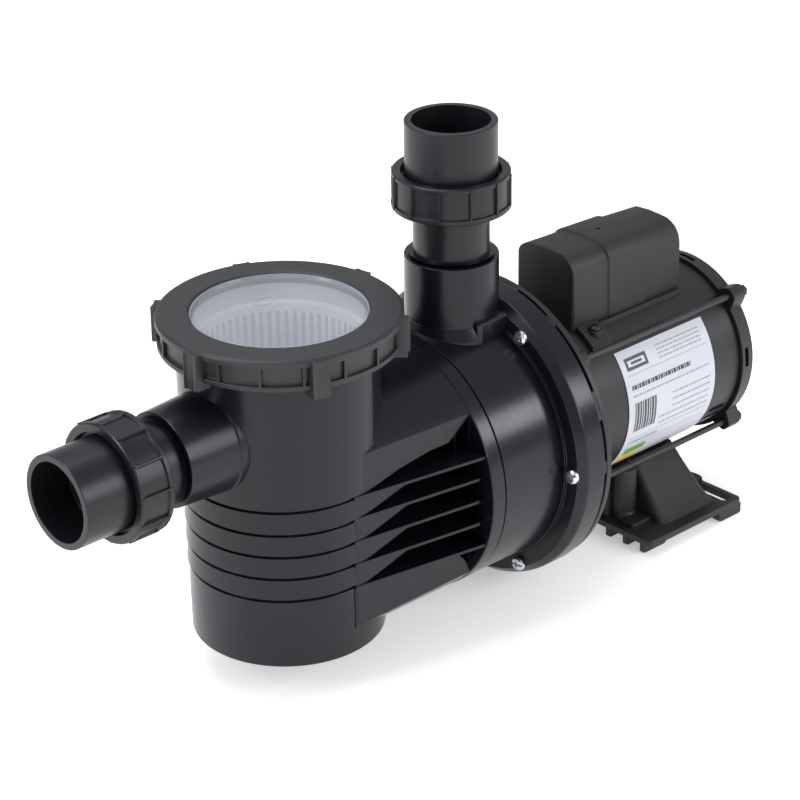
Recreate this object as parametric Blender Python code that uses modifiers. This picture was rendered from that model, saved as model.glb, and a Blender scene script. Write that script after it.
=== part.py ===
"""Pool pump: strainer pot, volute, motor on a foot and two union couplings.

Lengths are in millimetres and become metres in the helper functions. X is measured from the
strainer pot's axis towards the motor, Y from the plane of symmetry and Z from the floor. Every
object hangs on one empty, which moves the middle of the pump's length to the world origin.
"""
import math

import bmesh
import bpy
from mathutils import Matrix, Vector

MM = 0.001

# --- driving dimensions -------------------------------------------------------------------
AXIS_Z = 104.0            # height of the pump and motor axis
GAP = 0.3                 # clearance between pieces that touch on the real pump

POT_BASE_Z = 25.0         # underside of the strainer pot
POT_BASE_R = 62.3
POT_TOP_R = 65.0
POT_TOP_Z = 230.0         # rim of the pot's neck
POT_CAVITY_R = 57.5
POT_LEDGE_Z = 222.0       # ledge that carries the basket's rim
POT_LEDGE_R = 60.0

VOLUTE_R = 88.0
VOLUTE_X = (98.0, 163.0)
VOLUTE_CAVITY_R = 82.0
VOLUTE_CAVITY_X = 106.0
FLANGE_R = 104.0
FLANGE_X = (163.0, 184.4)
FLANGE_BEVEL = 5.0
TUNNEL_HALF_WIDTH = 64.0
TUNNEL_BOTTOM_Z = 30.0
FIN_Z = (72.2, 88.2, 104.2, 120.2, 135.2)
FIN_THICKNESS = 2.4
FIN_REACH = (62.0, 80.0)  # half width over the fins, at the pot and at the volute

INLET_Z = 174.4
INLET_RIM_X = -98.0
OUTLET_X = 146.7
OUTLET_RIM_Z = 237.5
SOCKET_BORE_R = 25.3
SOCKET_DEPTH = 26.0
FLOW_R = 21.5

SUCTION_NUT_X = -117.0    # inner end of the suction union's nut
DISCHARGE_NUT_Z = 270.3   # inner end of the discharge union's nut
NUT_HEIGHT = 24.8
NUT_R = 38.2
NUT_RIB_R = 39.4
NUT_THREAD_R = 35.3
NUT_LIP_R = 32.5
TAIL_LENGTH = 58.2        # from the nut's inner end to the tailpiece's end
TAIL_R = 30.0
TAIL_BORE_R = 25.4
TAIL_SOCKET_DEPTH = 28.0
NIPPLE_R = 24.8

LID_TOP_Z = 243.8
LID_BOTTOM_Z = 220.0
LID_RING_R = 76.7
LID_LUG_R = 81.0
LID_LUG_ANGLE = 7.0
LENS_R = 56.0             # visible radius of the lens

SCREW_CIRCLE_R = 96.0
SCREW_COUNT = 6

PLATE_X = (FLANGE_X[1] + 0.4, 194.0)
PLATE_R = 103.0
PLATE_RIM_X = 187.5
PLATE_DISC_R = 90.0

FRONT_SHIELD_X = (194.4, 209.0)
SHELL_X = (205.0, 365.6)
SHELL_R = 61.8
SHELL_WALL = 1.5
REAR_SHIELD_X = (366.0, 378.5)
MOTOR_END_X = 385.0
SHIELD_R = 65.0
ROD_R = 68.6              # circle of the four through-bolts
ROD_ANGLES = (45.0, 135.0, 225.0, 315.0)

BEARING_OUTER_R = 20.0
BEARING_INNER_R = 8.8
BEARING_WIDTH = 12.0
BEARING_X = (205.6, 359.6)
BALL_R = 2.5
BALL_CIRCLE_R = 14.2
BALL_COUNT = 5

STACK_X = (238.0, 318.0)  # laminations of stator and rotor
STATOR_R = 60.0
STATOR_BORE_R = 36.0
ROTOR_R = 35.4

COVER_X = (233.0, 340.0)
COVER_HALF_WIDTH = 28.0
COVER_TOP_Z = 215.0

FOOT_X = (258.0, 353.0)
FOOT_HALF_WIDTH = 80.0
FOOT_PLATE_Z = (7.0, 12.0)
FOOT_SLOT_X = 344.0
FOOT_SCREWS = ((284.0, 0.0), (316.0, 0.0))
TAB_SCREWS = ((246.0, -35.0), (246.0, 35.0))

ORIGIN_X = (SUCTION_NUT_X - TAIL_LENGTH + MOTOR_END_X) / 2.0

ROUND_BIG = 36            # sides of the large turned pieces
ROUND_MEDIUM = 24
ROUND_SMALL = 16
ROUND_RING = 20
ROUND_TINY = 8

# colour, roughness and metallic value of each material
FINISHES = {
    "black plastic": ((0.035, 0.036, 0.040), 0.40, 0.0),
    "matte plastic": ((0.045, 0.046, 0.050), 0.60, 0.0),
    "painted metal": ((0.040, 0.041, 0.045), 0.50, 0.0),
    "clear plastic": ((0.80, 0.83, 0.85), 0.15, 0.0),
    "white plastic": ((0.82, 0.83, 0.83), 0.45, 0.0),
    "rubber": ((0.02, 0.02, 0.02), 0.75, 0.0),
    "zinc": ((0.66, 0.68, 0.70), 0.30, 1.0),
    "steel": ((0.55, 0.56, 0.58), 0.35, 1.0),
    "copper": ((0.72, 0.36, 0.20), 0.40, 1.0),
    "ceramic": ((0.86, 0.84, 0.79), 0.30, 0.0),
    "carbon": ((0.05, 0.05, 0.055), 0.40, 0.0),
    "label": ((0.86, 0.87, 0.88), 0.45, 0.0),
}

# directions that a turned piece's axis can take, as rotations of the local Z axis
UP = Matrix.Identity(4)
MOTORWARDS = Matrix.Rotation(math.radians(90.0), 4, "Y")
SUCTIONWARDS = Matrix.Rotation(math.radians(-90.0), 4, "Y")
FARWARDS = Matrix.Rotation(math.radians(-90.0), 4, "X")


# --- helpers ------------------------------------------------------------------------------
def clear_scene():
    for item in list(bpy.data.objects):
        bpy.data.objects.remove(item, do_unlink=True)


def new_collection(name):
    collection = bpy.data.collections.new(name)
    bpy.context.scene.collection.children.link(collection)
    return collection


def finish_material(finish, name):
    colour, roughness, metallic = FINISHES[finish]
    material = bpy.data.materials.new(name)
    material.use_nodes = True
    shader = material.node_tree.nodes["Principled BSDF"]
    shader.inputs["Base Color"].default_value = (*colour, 1.0)
    shader.inputs["Roughness"].default_value = roughness
    shader.inputs["Metallic"].default_value = metallic
    material.diffuse_color = (*colour, 1.0)
    return material


def place(at=(0.0, 0.0, 0.0), turn=UP):
    """Matrix that puts a piece at a point given in millimetres."""
    return Matrix.Translation(Vector(at) * MM) @ turn


def on_axis(x=0.0):
    return place((x, 0.0, AXIS_Z), MOTORWARDS)


def add_object(name, mesh, matrix, finish=None):
    """A part when it has a finish, and otherwise a hidden cutter."""
    item = bpy.data.objects.new(name, mesh)
    item.parent = ROOT
    item.matrix_local = matrix
    if finish is None:
        CUTTERS.objects.link(item)
        item.hide_render = True
        item.display_type = "WIRE"
    else:
        PARTS.objects.link(item)
        mesh.materials.append(finish_material(finish, name))
    return item


def turned(name, profile, matrix, sides, finish=None):
    """Turn a profile of (radius, height) points. The outer side runs from top to bottom."""
    closed = min(radius for radius, _ in profile) > 0.0
    points = [(radius * MM, 0.0, height * MM) for radius, height in profile]
    edges = [(i, i + 1) for i in range(len(points) - 1)]
    if closed:
        edges.append((len(points) - 1, 0))
    mesh = bpy.data.meshes.new(name)
    mesh.from_pydata(points, edges, [])
    item = add_object(name, mesh, matrix, finish)
    screw = item.modifiers.new("turn", "SCREW")
    screw.steps = sides
    screw.render_steps = sides
    screw.use_merge_vertices = True
    screw.merge_threshold = 0.00001
    return item


def tube(radius, bore, bottom, top):
    """Profile of a plain ring."""
    return [(bore, top), (radius, top), (radius, bottom), (bore, bottom)]


def rod(radius, bottom, top):
    """Profile of a plain cylinder."""
    return [(0.0, top), (radius, top), (radius, bottom), (0.0, bottom)]


def boxes(name, limits, matrix, finish=None):
    """One mesh of boxes, each given by its low and high corner and a turn about local Z."""
    shape = bmesh.new()
    for low, high, angle in limits:
        low, high = Vector(low) * MM, Vector(high) * MM
        size = high - low
        turn = Matrix.Rotation(math.radians(angle), 4, "Z")
        scale = Matrix.Diagonal((*size, 1.0))
        bmesh.ops.create_cube(shape, size=1.0,
                              matrix=turn @ Matrix.Translation((low + high) / 2.0) @ scale)
    mesh = bpy.data.meshes.new(name)
    shape.to_mesh(mesh)
    shape.free()
    return add_object(name, mesh, matrix, finish)


def box(name, low, high, matrix=UP, finish=None):
    return boxes(name, [(low, high, 0.0)], matrix, finish)


def rods(name, centres, radius, bottom, top, sides, matrix, finish=None):
    """One mesh of parallel cylinders, each at an (x, y) centre."""
    shape = bmesh.new()
    for x, y in centres:
        middle = Vector((x, y, (bottom + top) / 2.0)) * MM
        bmesh.ops.create_cone(shape, cap_ends=True, segments=sides, radius1=radius * MM,
                              radius2=radius * MM, depth=(top - bottom) * MM,
                              matrix=Matrix.Translation(middle))
    mesh = bpy.data.meshes.new(name)
    shape.to_mesh(mesh)
    shape.free()
    return add_object(name, mesh, matrix, finish)


def plate(name, outline, thickness, matrix, finish=None):
    """A flat outline, extruded along local Z from 0 to its thickness."""
    curve = bpy.data.curves.new(name, "CURVE")
    curve.dimensions = "2D"
    curve.fill_mode = "BOTH"
    curve.extrude = thickness / 2.0 * MM
    spline = curve.splines.new("POLY")
    spline.points.add(len(outline) - 1)
    for point, (x, y) in zip(spline.points, outline):
        point.co = (x * MM, y * MM, 0.0, 1.0)
    spline.use_cyclic_u = True
    lifted = matrix @ Matrix.Translation((0.0, 0.0, thickness / 2.0 * MM))
    return curve_to_part(name, curve, lifted, finish)


def curve_to_part(name, curve, matrix, finish):
    """Replace a curve by the mesh it draws, with its caps welded."""
    guide = bpy.data.objects.new(name + "_guide", curve)
    bpy.context.scene.collection.objects.link(guide)
    bpy.context.view_layer.update()
    evaluated = guide.evaluated_get(bpy.context.evaluated_depsgraph_get())
    mesh = bpy.data.meshes.new_from_object(evaluated)
    bpy.data.objects.remove(guide, do_unlink=True)
    shape = bmesh.new()
    shape.from_mesh(mesh)
    bmesh.ops.remove_doubles(shape, verts=shape.verts, dist=0.000001)
    shape.to_mesh(mesh)
    shape.free()
    mesh.materials.clear()
    return add_object(name, mesh, matrix, finish)


def combine(target, operation, *tools, solver="EXACT"):
    for tool in tools:
        step = target.modifiers.new(tool.name, "BOOLEAN")
        step.operation = operation
        step.object = tool
        step.solver = solver
    return target


def cut(target, *tools, solver="EXACT"):
    return combine(target, "DIFFERENCE", *tools, solver=solver)


def join(target, *tools, solver="EXACT"):
    return combine(target, "UNION", *tools, solver=solver)


def on_circle(radius, angles):
    """Points on a circle in a local XY plane, with angles in degrees from local X."""
    return [(radius * math.cos(math.radians(a)), radius * math.sin(math.radians(a)))
            for a in angles]


def even_angles(count, first=0.0):
    return [first + 360.0 * i / count for i in range(count)]


def o_ring(name, ring_r, section_r, matrix, sides=ROUND_RING):
    """Ring with a five-sided section, read clockwise from its top."""
    section = on_circle(section_r, [90.0 - a for a in even_angles(5)])
    return turned(name, [(ring_r + x, z) for x, z in section], matrix, sides, "rubber")


# --- pump body ----------------------------------------------------------------------------
def build_pump_body():
    """Strainer pot, tunnel with side fins, volute, flange and both pipe sockets in one moulding."""
    body = turned("pump_body", [
        (0.0, POT_TOP_Z), (POT_TOP_R, POT_TOP_Z), (POT_BASE_R, POT_BASE_Z), (0.0, POT_BASE_Z),
    ], UP, ROUND_BIG, "black plastic")
    join(body, tunnel(), fins(), volute_and_flange(), inlet_socket(), *outlet_socket(), drain_boss(),
         solver="MANIFOLD")
    cut(body, pot_cavity(), duct(), volute_cavity(), inlet_bore(), outlet_bore(), drain_hole(),
        screw_holes("flange_screw_holes", 2.7, FLANGE_X[0] - 2.0, FLANGE_X[1] + 2.0), solver="MANIFOLD")
    weld = body.modifiers.new("weld", "WELD")
    weld.merge_threshold = 0.00001
    return body


def tunnel():
    """Casing between pot and volute: the volute's cylinder, cut flat at both sides and below."""
    casing = turned("tunnel", rod(VOLUTE_R - 1.5, 1.0, VOLUTE_X[0] + 6.0), on_axis(), ROUND_BIG)
    half = TUNNEL_HALF_WIDTH
    keep = box("tunnel_limits", (-5.0, -half, TUNNEL_BOTTOM_Z), (120.0, half, 200.0))
    combine(casing, "INTERSECT", keep)
    low, high = FIN_Z[0] - 16.0, FIN_Z[-1] + 2.0
    sides = []
    for middle in (-half - 9.0, half + 9.0):
        sides.append(((40.0, middle - 18.0, low), (VOLUTE_X[0] + 4.0, middle + 18.0, high), 0.0))
    return cut(casing, boxes("fin_windows", sides, UP))


def fins():
    """Five flat fins that stand out of both sides between pot and volute."""
    near, far = FIN_REACH
    end = VOLUTE_X[0] + 1.5
    outline = [(20.0, -near), (end, -far), (end, far), (20.0, near)]
    stack = [plate(f"fin_{i}", outline, FIN_THICKNESS, place((0.0, 0.0, z - FIN_THICKNESS / 2.0)))
             for i, z in enumerate(FIN_Z)]
    return join(stack[0], *stack[1:])


def volute_and_flange():
    front, rear = VOLUTE_X[0], FLANGE_X[1]
    face = FLANGE_X[0]
    return turned("volute_and_flange", [
        (0.0, rear), (FLANGE_R, rear), (FLANGE_R, face + FLANGE_BEVEL), (FLANGE_R - FLANGE_BEVEL, face),
        (VOLUTE_R, face), (VOLUTE_R, front), (0.0, front),
    ], on_axis(), ROUND_BIG)


def inlet_socket():
    rim = -INLET_RIM_X
    return turned("inlet_socket", [(0.0, rim), (30.85, rim), (33.2, 58.0), (33.2, 40.0), (0.0, 40.0)],
                  place((0.0, 0.0, INLET_Z), SUCTIONWARDS), ROUND_MEDIUM)


def outlet_socket():
    """Riser over the volute and the saddle block that ties it to the flange."""
    riser = turned("outlet_socket", rod(30.85, 180.0, OUTLET_RIM_Z),
                   place((OUTLET_X, 0.0, 0.0)), ROUND_MEDIUM)
    saddle = box("outlet_saddle", (138.0, -34.0, 180.0), (FLANGE_X[0] + 3.0, 34.0, AXIS_Z + 94.0))
    return riser, saddle


def drain_boss():
    return turned("drain_boss", rod(11.0, 50.0, 68.0), place((0.0, 0.0, 44.0), FARWARDS), ROUND_SMALL)


def pot_cavity():
    floor = POT_BASE_Z + 4.5
    return turned("pot_cavity", [
        (0.0, POT_TOP_Z + 5.0), (POT_LEDGE_R, POT_TOP_Z + 5.0), (POT_LEDGE_R, POT_LEDGE_Z),
        (POT_CAVITY_R, POT_LEDGE_Z), (POT_CAVITY_R - 1.5, floor), (0.0, floor),
    ], UP, ROUND_BIG)


def duct():
    """Water way from the pot to the impeller's eye."""
    way = box("duct", (45.0, -41.0, 62.0), (VOLUTE_X[0] + 2.0, 41.0, 172.0))
    eye = turned("eye", rod(30.0, 90.0, VOLUTE_CAVITY_X + 4.0), on_axis(), ROUND_MEDIUM)
    return join(way, eye)


def volute_cavity():
    return turned("volute_cavity", rod(VOLUTE_CAVITY_R, VOLUTE_CAVITY_X, FLANGE_X[1] + 6.0),
                  on_axis(), ROUND_BIG)


def bore_profile(rim, inner_end):
    """Pipe socket with a chamfered mouth and a narrower flow bore below it."""
    floor = rim - SOCKET_DEPTH
    return [
        (0.0, rim + 1.0), (SOCKET_BORE_R + 3.5, rim + 1.0), (SOCKET_BORE_R + 2.5, rim),
        (SOCKET_BORE_R, rim - 3.0),
        (SOCKET_BORE_R, floor), (FLOW_R, floor), (FLOW_R, inner_end), (0.0, inner_end),
    ]


def inlet_bore():
    return turned("inlet_bore", bore_profile(-INLET_RIM_X, 45.0), place((0.0, 0.0, INLET_Z), SUCTIONWARDS),
                  ROUND_MEDIUM)


def outlet_bore():
    return turned("outlet_bore", bore_profile(OUTLET_RIM_Z, 165.0),
                  place((OUTLET_X, 0.0, 0.0)), ROUND_MEDIUM)


def drain_hole():
    return turned("drain_hole", rod(7.0, 45.0, 75.0), place((0.0, 0.0, 44.0), FARWARDS), ROUND_TINY)


def screw_holes(name, radius, start, end):
    circle = on_circle(SCREW_CIRCLE_R, even_angles(SCREW_COUNT, 90.0))
    return rods(name, circle, radius, start, end, 8, on_axis())


def build_drain_plug():
    axis = place((0.0, 0.0, 44.0), FARWARDS)
    plug = turned("drain_plug", [
        (0.0, 77.0), (9.0, 77.0), (10.0, 76.0), (10.0, 71.0), (6.0, 71.0), (6.0, 59.0), (0.0, 59.0),
    ], axis, ROUND_TINY, "black plastic")
    cut(plug, box("drain_plug_slot", (-1.4, -12.0, 74.0), (1.4, 12.0, 80.0), axis))
    o_ring("drain_oring", 8.0, 1.2, place((0.0, 69.5, 44.0), FARWARDS))


# --- strainer -----------------------------------------------------------------------------
def build_basket():
    """Strainer cup with slots in its wall and floor and a window in front of the inlet."""
    rim, floor = POT_LEDGE_Z + 3.0, 40.0
    basket = turned("strainer_basket", [
        (52.0, rim), (59.0, rim), (59.0, POT_LEDGE_Z + GAP), (54.0, POT_LEDGE_Z + GAP), (50.0, floor),
        (8.0, floor), (8.0, floor + 2.2), (48.0, floor + 2.2), (51.8, rim - 2.0),
    ], UP, ROUND_MEDIUM, "white plastic")
    slots = boxes("basket_slots", [((44.0, -3.2, 52.0), (60.0, 3.2, 146.0), a)
                                   for a in even_angles(14)], UP)
    upper = boxes("basket_upper_slots", [((44.0, -3.2, 154.0), (62.0, 3.2, 214.0), a)
                                         for a in even_angles(14) if abs(a - 180.0) > 30.0], UP)
    window = turned("basket_window", rod(24.0, 30.0, 70.0),
                    place((0.0, 0.0, INLET_Z), SUCTIONWARDS), ROUND_SMALL)
    return cut(basket, slots, upper, window)


def build_lid():
    ledge = LID_TOP_Z - 4.0 - GAP
    turned("lid_lens", [
        (0.0, LID_TOP_Z - 2.0), (LENS_R - 2.5, LID_TOP_Z - 2.5), (LENS_R - 1.0, ledge), (63.5, ledge),
        (63.5, POT_TOP_Z + 3.7), (58.5, POT_TOP_Z + 3.7), (58.0, POT_TOP_Z - 4.0), (55.5, POT_TOP_Z - 4.0),
        (54.5, ledge - 2.0), (0.0, ledge - 2.0),
    ], UP, ROUND_MEDIUM, "clear plastic")
    o_ring("lid_oring", 62.3, 1.6, place((0.0, 0.0, POT_TOP_Z + 1.9)))
    ring = turned("lid_ring", [
        (LENS_R, LID_TOP_Z - 1.0), (LENS_R + 1.0, LID_TOP_Z), (LID_RING_R - 2.5, LID_TOP_Z),
        (LID_RING_R, LID_TOP_Z - 2.5), (LID_RING_R, LID_BOTTOM_Z), (66.3, LID_BOTTOM_Z),
        (66.3, LID_TOP_Z - 4.0), (LENS_R, LID_TOP_Z - 4.0),
    ], UP, ROUND_BIG, "black plastic")
    lugs = boxes("lid_lugs", [((70.0, -6.5, LID_BOTTOM_Z + 0.5), (LID_LUG_R, 6.5, LID_TOP_Z - 1.5), a)
                              for a in even_angles(6, LID_LUG_ANGLE)], UP)
    return join(ring, lugs)


# --- union couplings ----------------------------------------------------------------------
def build_union(side, nut_end, neck, turn, origin):
    """Nipple glued in the body, tailpiece, its O-ring and the nut that draws them together."""
    def seat(distance):
        return place(origin, turn) @ Matrix.Translation((0.0, 0.0, distance * MM))

    axis = seat(nut_end)
    face = 12.6
    turned(side + "_nipple", [
        (FLOW_R, face), (NUT_THREAD_R - 0.9, face), (NUT_THREAD_R - 0.9, 2.0), (NIPPLE_R + 1.5, 1.0),
        (NIPPLE_R, -1.0), (NIPPLE_R, -neck - SOCKET_DEPTH + GAP), (FLOW_R, -neck - SOCKET_DEPTH + GAP),
    ], axis, ROUND_MEDIUM, "black plastic")
    o_ring(side + "_oring", 29.0, 1.3, seat(nut_end + face + 1.6))
    flange = face + 3.2
    shoulder = TAIL_LENGTH - TAIL_SOCKET_DEPTH
    turned(side + "_tailpiece", [
        (TAIL_BORE_R, TAIL_LENGTH), (TAIL_R - 1.0, TAIL_LENGTH), (TAIL_R, TAIL_LENGTH - 1.0),
        (TAIL_R, flange + 4.5), (NUT_THREAD_R - 1.1, flange + 4.5), (NUT_THREAD_R - 1.1, flange),
        (FLOW_R, flange), (FLOW_R, shoulder), (TAIL_BORE_R, shoulder),
    ], axis, ROUND_MEDIUM, "black plastic")
    lip = NUT_HEIGHT - 4.0
    nut = turned(side + "_nut", [
        (NUT_LIP_R, NUT_HEIGHT), (NUT_R - 1.0, NUT_HEIGHT), (NUT_R, NUT_HEIGHT - 1.0), (NUT_R, 1.0),
        (NUT_R - 1.0, 0.0), (NUT_THREAD_R, 0.0), (NUT_THREAD_R, lip), (NUT_LIP_R, lip),
    ], axis, 24, "black plastic")
    ribs = boxes(side + "_nut_ribs", [((NUT_R - 2.0, -1.2, 2.5), (NUT_RIB_R, 1.2, NUT_HEIGHT - 2.5), a)
                                      for a in even_angles(12, 5.0)], axis)
    return join(nut, ribs)


# --- wet end ------------------------------------------------------------------------------
def build_diffuser():
    """Cup round the impeller with outlet windows in its wall."""
    floor = VOLUTE_CAVITY_X + GAP
    cup = turned("diffuser", [
        (72.5, 166.0), (75.5, 166.0), (75.5, floor), (28.0, floor), (28.0, 122.0), (31.0, 122.0),
        (31.0, floor + 4.0), (72.5, floor + 4.0),
    ], on_axis(), ROUND_MEDIUM, "black plastic")
    windows = boxes("diffuser_windows", [((66.0, -14.0, 124.0), (82.0, 14.0, 152.0), a)
                                         for a in even_angles(6, 15.0)], on_axis())
    return cut(cup, windows)


def build_impeller():
    """Closed impeller: two shrouds and swept vanes on a hub."""
    hub = turned("impeller", [
        (8.4, 146.0), (62.0, 146.0), (62.0, 143.0), (14.0, 140.0), (12.0, 128.0), (8.4, 128.0),
    ], on_axis(), ROUND_MEDIUM, "black plastic")
    shroud = turned("impeller_shroud", [
        (62.0, 133.0), (62.0, 131.0), (26.5, 127.0), (26.5, 118.0), (24.0, 118.0), (24.0, 129.0),
    ], on_axis(), ROUND_MEDIUM)
    vanes = [vane(f"impeller_vane_{i}", angle) for i, angle in enumerate(even_angles(5))]
    return join(hub, shroud, *vanes)


def vane(name, angle):
    """Backward-swept blade whose angle grows with the radius."""
    sweep = [(27.0 + 34.5 * t, angle + 70.0 * t) for t in (0.0, 0.33, 0.67, 1.0)]
    outer = [on_circle(r, [a])[0] for r, a in sweep]
    inner = [on_circle(r, [a + 140.0 / r])[0] for r, a in reversed(sweep)]
    return plate(name, outer + inner, 13.0, on_axis(131.0))


def build_shaft_seal():
    seal_x = 168.0
    turned("seal_seat", tube(16.4, 9.5, seal_x - 7.6, seal_x - GAP), on_axis(), ROUND_SMALL, "ceramic")
    turned("seal_head", [(8.4, 160.0), (13.5, 160.0), (15.0, 157.5), (15.0, 154.0), (8.4, 154.0)],
           on_axis(), ROUND_SMALL, "carbon")
    curve = bpy.data.curves.new("seal_spring", "CURVE")
    curve.dimensions = "3D"
    curve.bevel_depth = 0.8 * MM
    curve.bevel_resolution = 1
    curve.use_fill_caps = True
    turns, per_turn = 2.0, 10
    count = int(turns * per_turn) + 1
    spline = curve.splines.new("POLY")
    spline.points.add(count - 1)
    for i, point in enumerate(spline.points):
        x, y = on_circle(11.5, [360.0 * i / per_turn])[0]
        point.co = (x * MM, y * MM, (147.4 + 5.2 * i / (count - 1)) * MM, 1.0)
    return curve_to_part("seal_spring", curve, on_axis(), "steel")


def build_seal_plate():
    """Plate between pump and motor: it closes the volute and carries the seal's seat."""
    front, rear = PLATE_X
    bracket = turned("seal_plate", [
        (10.5, rear), (PLATE_R, rear), (PLATE_R, PLATE_RIM_X), (PLATE_DISC_R, PLATE_RIM_X),
        (PLATE_DISC_R, front), (88.9, front), (88.9, front + 2.8), (85.1, front + 2.8), (85.1, front),
        (81.4, front), (81.4, 176.0), (77.0, 176.0), (77.0, 187.0), (26.0, 187.0), (22.0, 160.0),
        (17.0, 160.0), (17.0, 168.0), (10.5, 168.0),
    ], on_axis(), ROUND_BIG, "black plastic")
    lugs = boxes("plate_lugs", [((PLATE_DISC_R - 1.0, -10.5, front), (PLATE_R - 2.5, 10.5, rear - 1.0), a)
                                for a in even_angles(6, 66.0)], on_axis())
    join(bracket, lugs)
    cut(bracket, screw_holes("plate_screw_holes", 2.5, front - 3.0, 192.0))
    o_ring("body_oring", 87.0, 1.25, on_axis(front + 1.35), ROUND_BIG)


def build_flange_screws():
    """Pan-head screws through the flange into the seal plate."""
    head_top = FLANGE_X[0] - 4.0
    for i, (x, y) in enumerate(on_circle(SCREW_CIRCLE_R, even_angles(SCREW_COUNT, 90.0)), start=1):
        axis = on_axis() @ Matrix.Translation((x * MM, y * MM, 0.0))
        under_head = FLANGE_X[0] - GAP
        screw = turned(f"flange_screw_{i}", [
            (0.0, 191.0), (2.0, 191.0), (2.0, under_head), (4.85, under_head), (4.85, head_top + 1.4),
            (3.4, head_top), (0.0, head_top),
        ], axis, ROUND_TINY, "zinc")
        cut(screw, box(f"flange_screw_slot_{i}", (-0.6, -6.0, head_top - 1.0),
                       (0.6, 6.0, head_top + 1.3), axis))


# --- motor --------------------------------------------------------------------------------
def ears(name, start, end):
    """Four blocks at the shields' rims that carry the through-bolts."""
    low, high = (SHELL_R + 1.2, -6.5, start), (ROD_R + 5.0, 6.5, end)
    return boxes(name, [(low, high, a) for a in ROD_ANGLES], on_axis())


def rod_holes(name, start, end):
    return rods(name, on_circle(ROD_R, ROD_ANGLES), 2.8, start, end, 8, on_axis())


def build_front_shield():
    """Cup-shaped end shield with the front bearing's housing."""
    front, rear = FRONT_SHIELD_X
    bearing = BEARING_X[0] - BEARING_WIDTH / 2.0
    shield = turned("motor_front_shield", [
        (SHELL_R + 0.4, rear), (SHIELD_R + 0.5, rear), (SHIELD_R + 0.5, front + 3.0),
        (SHIELD_R - 3.0, front),
        (12.0, front), (12.0, bearing - GAP), (BEARING_OUTER_R + GAP, bearing - GAP),
        (BEARING_OUTER_R + GAP, 213.0), (24.5, 213.0), (24.5, front + 5.0), (SHELL_R + 0.4, front + 5.0),
    ], on_axis(), ROUND_BIG, "painted metal")
    join(shield, ears("front_ears", front + 4.0, rear))
    return cut(shield, rod_holes("front_rod_holes", front + 6.5, rear + 1.0))


def build_rear_shield():
    """End shield with a domed, vented cover face and the rear bearing's housing."""
    front, rear = REAR_SHIELD_X
    bearing = BEARING_X[1] + BEARING_WIDTH / 2.0
    shield = turned("motor_rear_shield", [
        (0.0, MOTOR_END_X), (24.0, MOTOR_END_X), (56.0, rear + 3.0), (SHIELD_R - 1.4, rear),
        (SHIELD_R, front),
        (SHELL_R - SHELL_WALL - 0.5, front), (SHELL_R - SHELL_WALL - 0.5, front - 4.0),
        (SHELL_R - SHELL_WALL - 3.5, front - 4.0), (SHELL_R - SHELL_WALL - 3.5, rear - 2.0), (24.5, rear),
        (24.5, 352.6), (BEARING_OUTER_R + GAP, 352.6), (BEARING_OUTER_R + GAP, bearing + GAP),
        (0.0, bearing + GAP),
    ], on_axis(), ROUND_BIG, "painted metal")
    join(shield, ears("rear_ears", front, rear - 0.5))
    vents = boxes("rear_vents", [((34.0, -7.0, 360.0), (52.0, 7.0, 395.0), a) for a in even_angles(6)],
                  on_axis())
    return cut(shield, rod_holes("rear_rod_holes", front - 2.0, rear + 2.0), vents)


def build_stator_shell():
    """Rolled steel band with ventilation slots near both ends."""
    shell = turned("stator_shell", tube(SHELL_R, SHELL_R - SHELL_WALL, *SHELL_X), on_axis(), ROUND_BIG,
                   "painted metal")
    # local +Y of the slots' frame is world +Y, local +X is down
    front = [((40.0, -3.0, 214.0), (70.0, 3.0, 232.0), a) for a in (-36.0, -24.0, 24.0, 36.0)]
    rear = [((40.0, -3.0, 340.0), (70.0, 3.0, 357.0), a) for a in (-60.0, -48.0, 48.0, 60.0)]
    return cut(shell, boxes("shell_vents", front + rear, on_axis()))


def build_through_bolts():
    head = REAR_SHIELD_X[1] - 0.5 + GAP
    for i, (x, y) in enumerate(on_circle(ROD_R, ROD_ANGLES), start=1):
        axis = on_axis() @ Matrix.Translation((x * MM, y * MM, 0.0))
        turned(f"tie_rod_{i}", [
            (0.0, head + 4.0), (3.6, head + 4.0), (4.4, head + 3.2), (4.4, head), (2.3, head), (2.3, 201.5),
            (0.0, 201.5),
        ], axis, 10, "painted metal")


def build_stator():
    """Slotted lamination stack and the winding that lies in its slots."""
    low, high = STACK_X
    slots = even_angles(9)
    core = turned("stator_core", tube(STATOR_R, STATOR_BORE_R, low, high), on_axis(), 36, "steel")
    cut(core, boxes("stator_slots", [((38.5, -3.6, low - 2.0), (52.0, 3.6, high + 2.0), a) for a in slots],
                    on_axis()))
    winding = turned("stator_winding", tube(53.5, 38.5, low - 15.0, low - 2.0), on_axis(),
                     ROUND_MEDIUM, "copper")
    far_end = turned("winding_far_end", tube(53.5, 38.5, high + 2.0, high + 15.0), on_axis(), ROUND_MEDIUM)
    start, end = (39.5, -3.1, low - 4.0), (51.4, 3.1, high + 4.0)
    bars = boxes("winding_bars", [(start, end, a) for a in slots], on_axis())
    return join(winding, bars, far_end)


def build_rotor():
    low, high = STACK_X
    turned("rotor_core", [
        (10.6, high), (24.0, high), (24.0, high + 6.0), (ROTOR_R, high + 6.0), (ROTOR_R, low - 6.0),
        (24.0, low - 6.0), (24.0, low), (10.6, low),
    ], on_axis(), ROUND_MEDIUM, "steel")
    front, rear = BEARING_X
    reach = BEARING_WIDTH / 2.0 + 1.0
    turned("shaft", [
        (0.0, rear + 5.0), (8.3, rear + 5.0), (8.3, rear - reach), (10.2, rear - reach),
        (10.2, front + reach),
        (8.3, front + reach), (8.3, 172.0), (8.0, 172.0), (8.0, 122.0), (0.0, 122.0),
    ], on_axis(), ROUND_SMALL, "steel")


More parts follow.
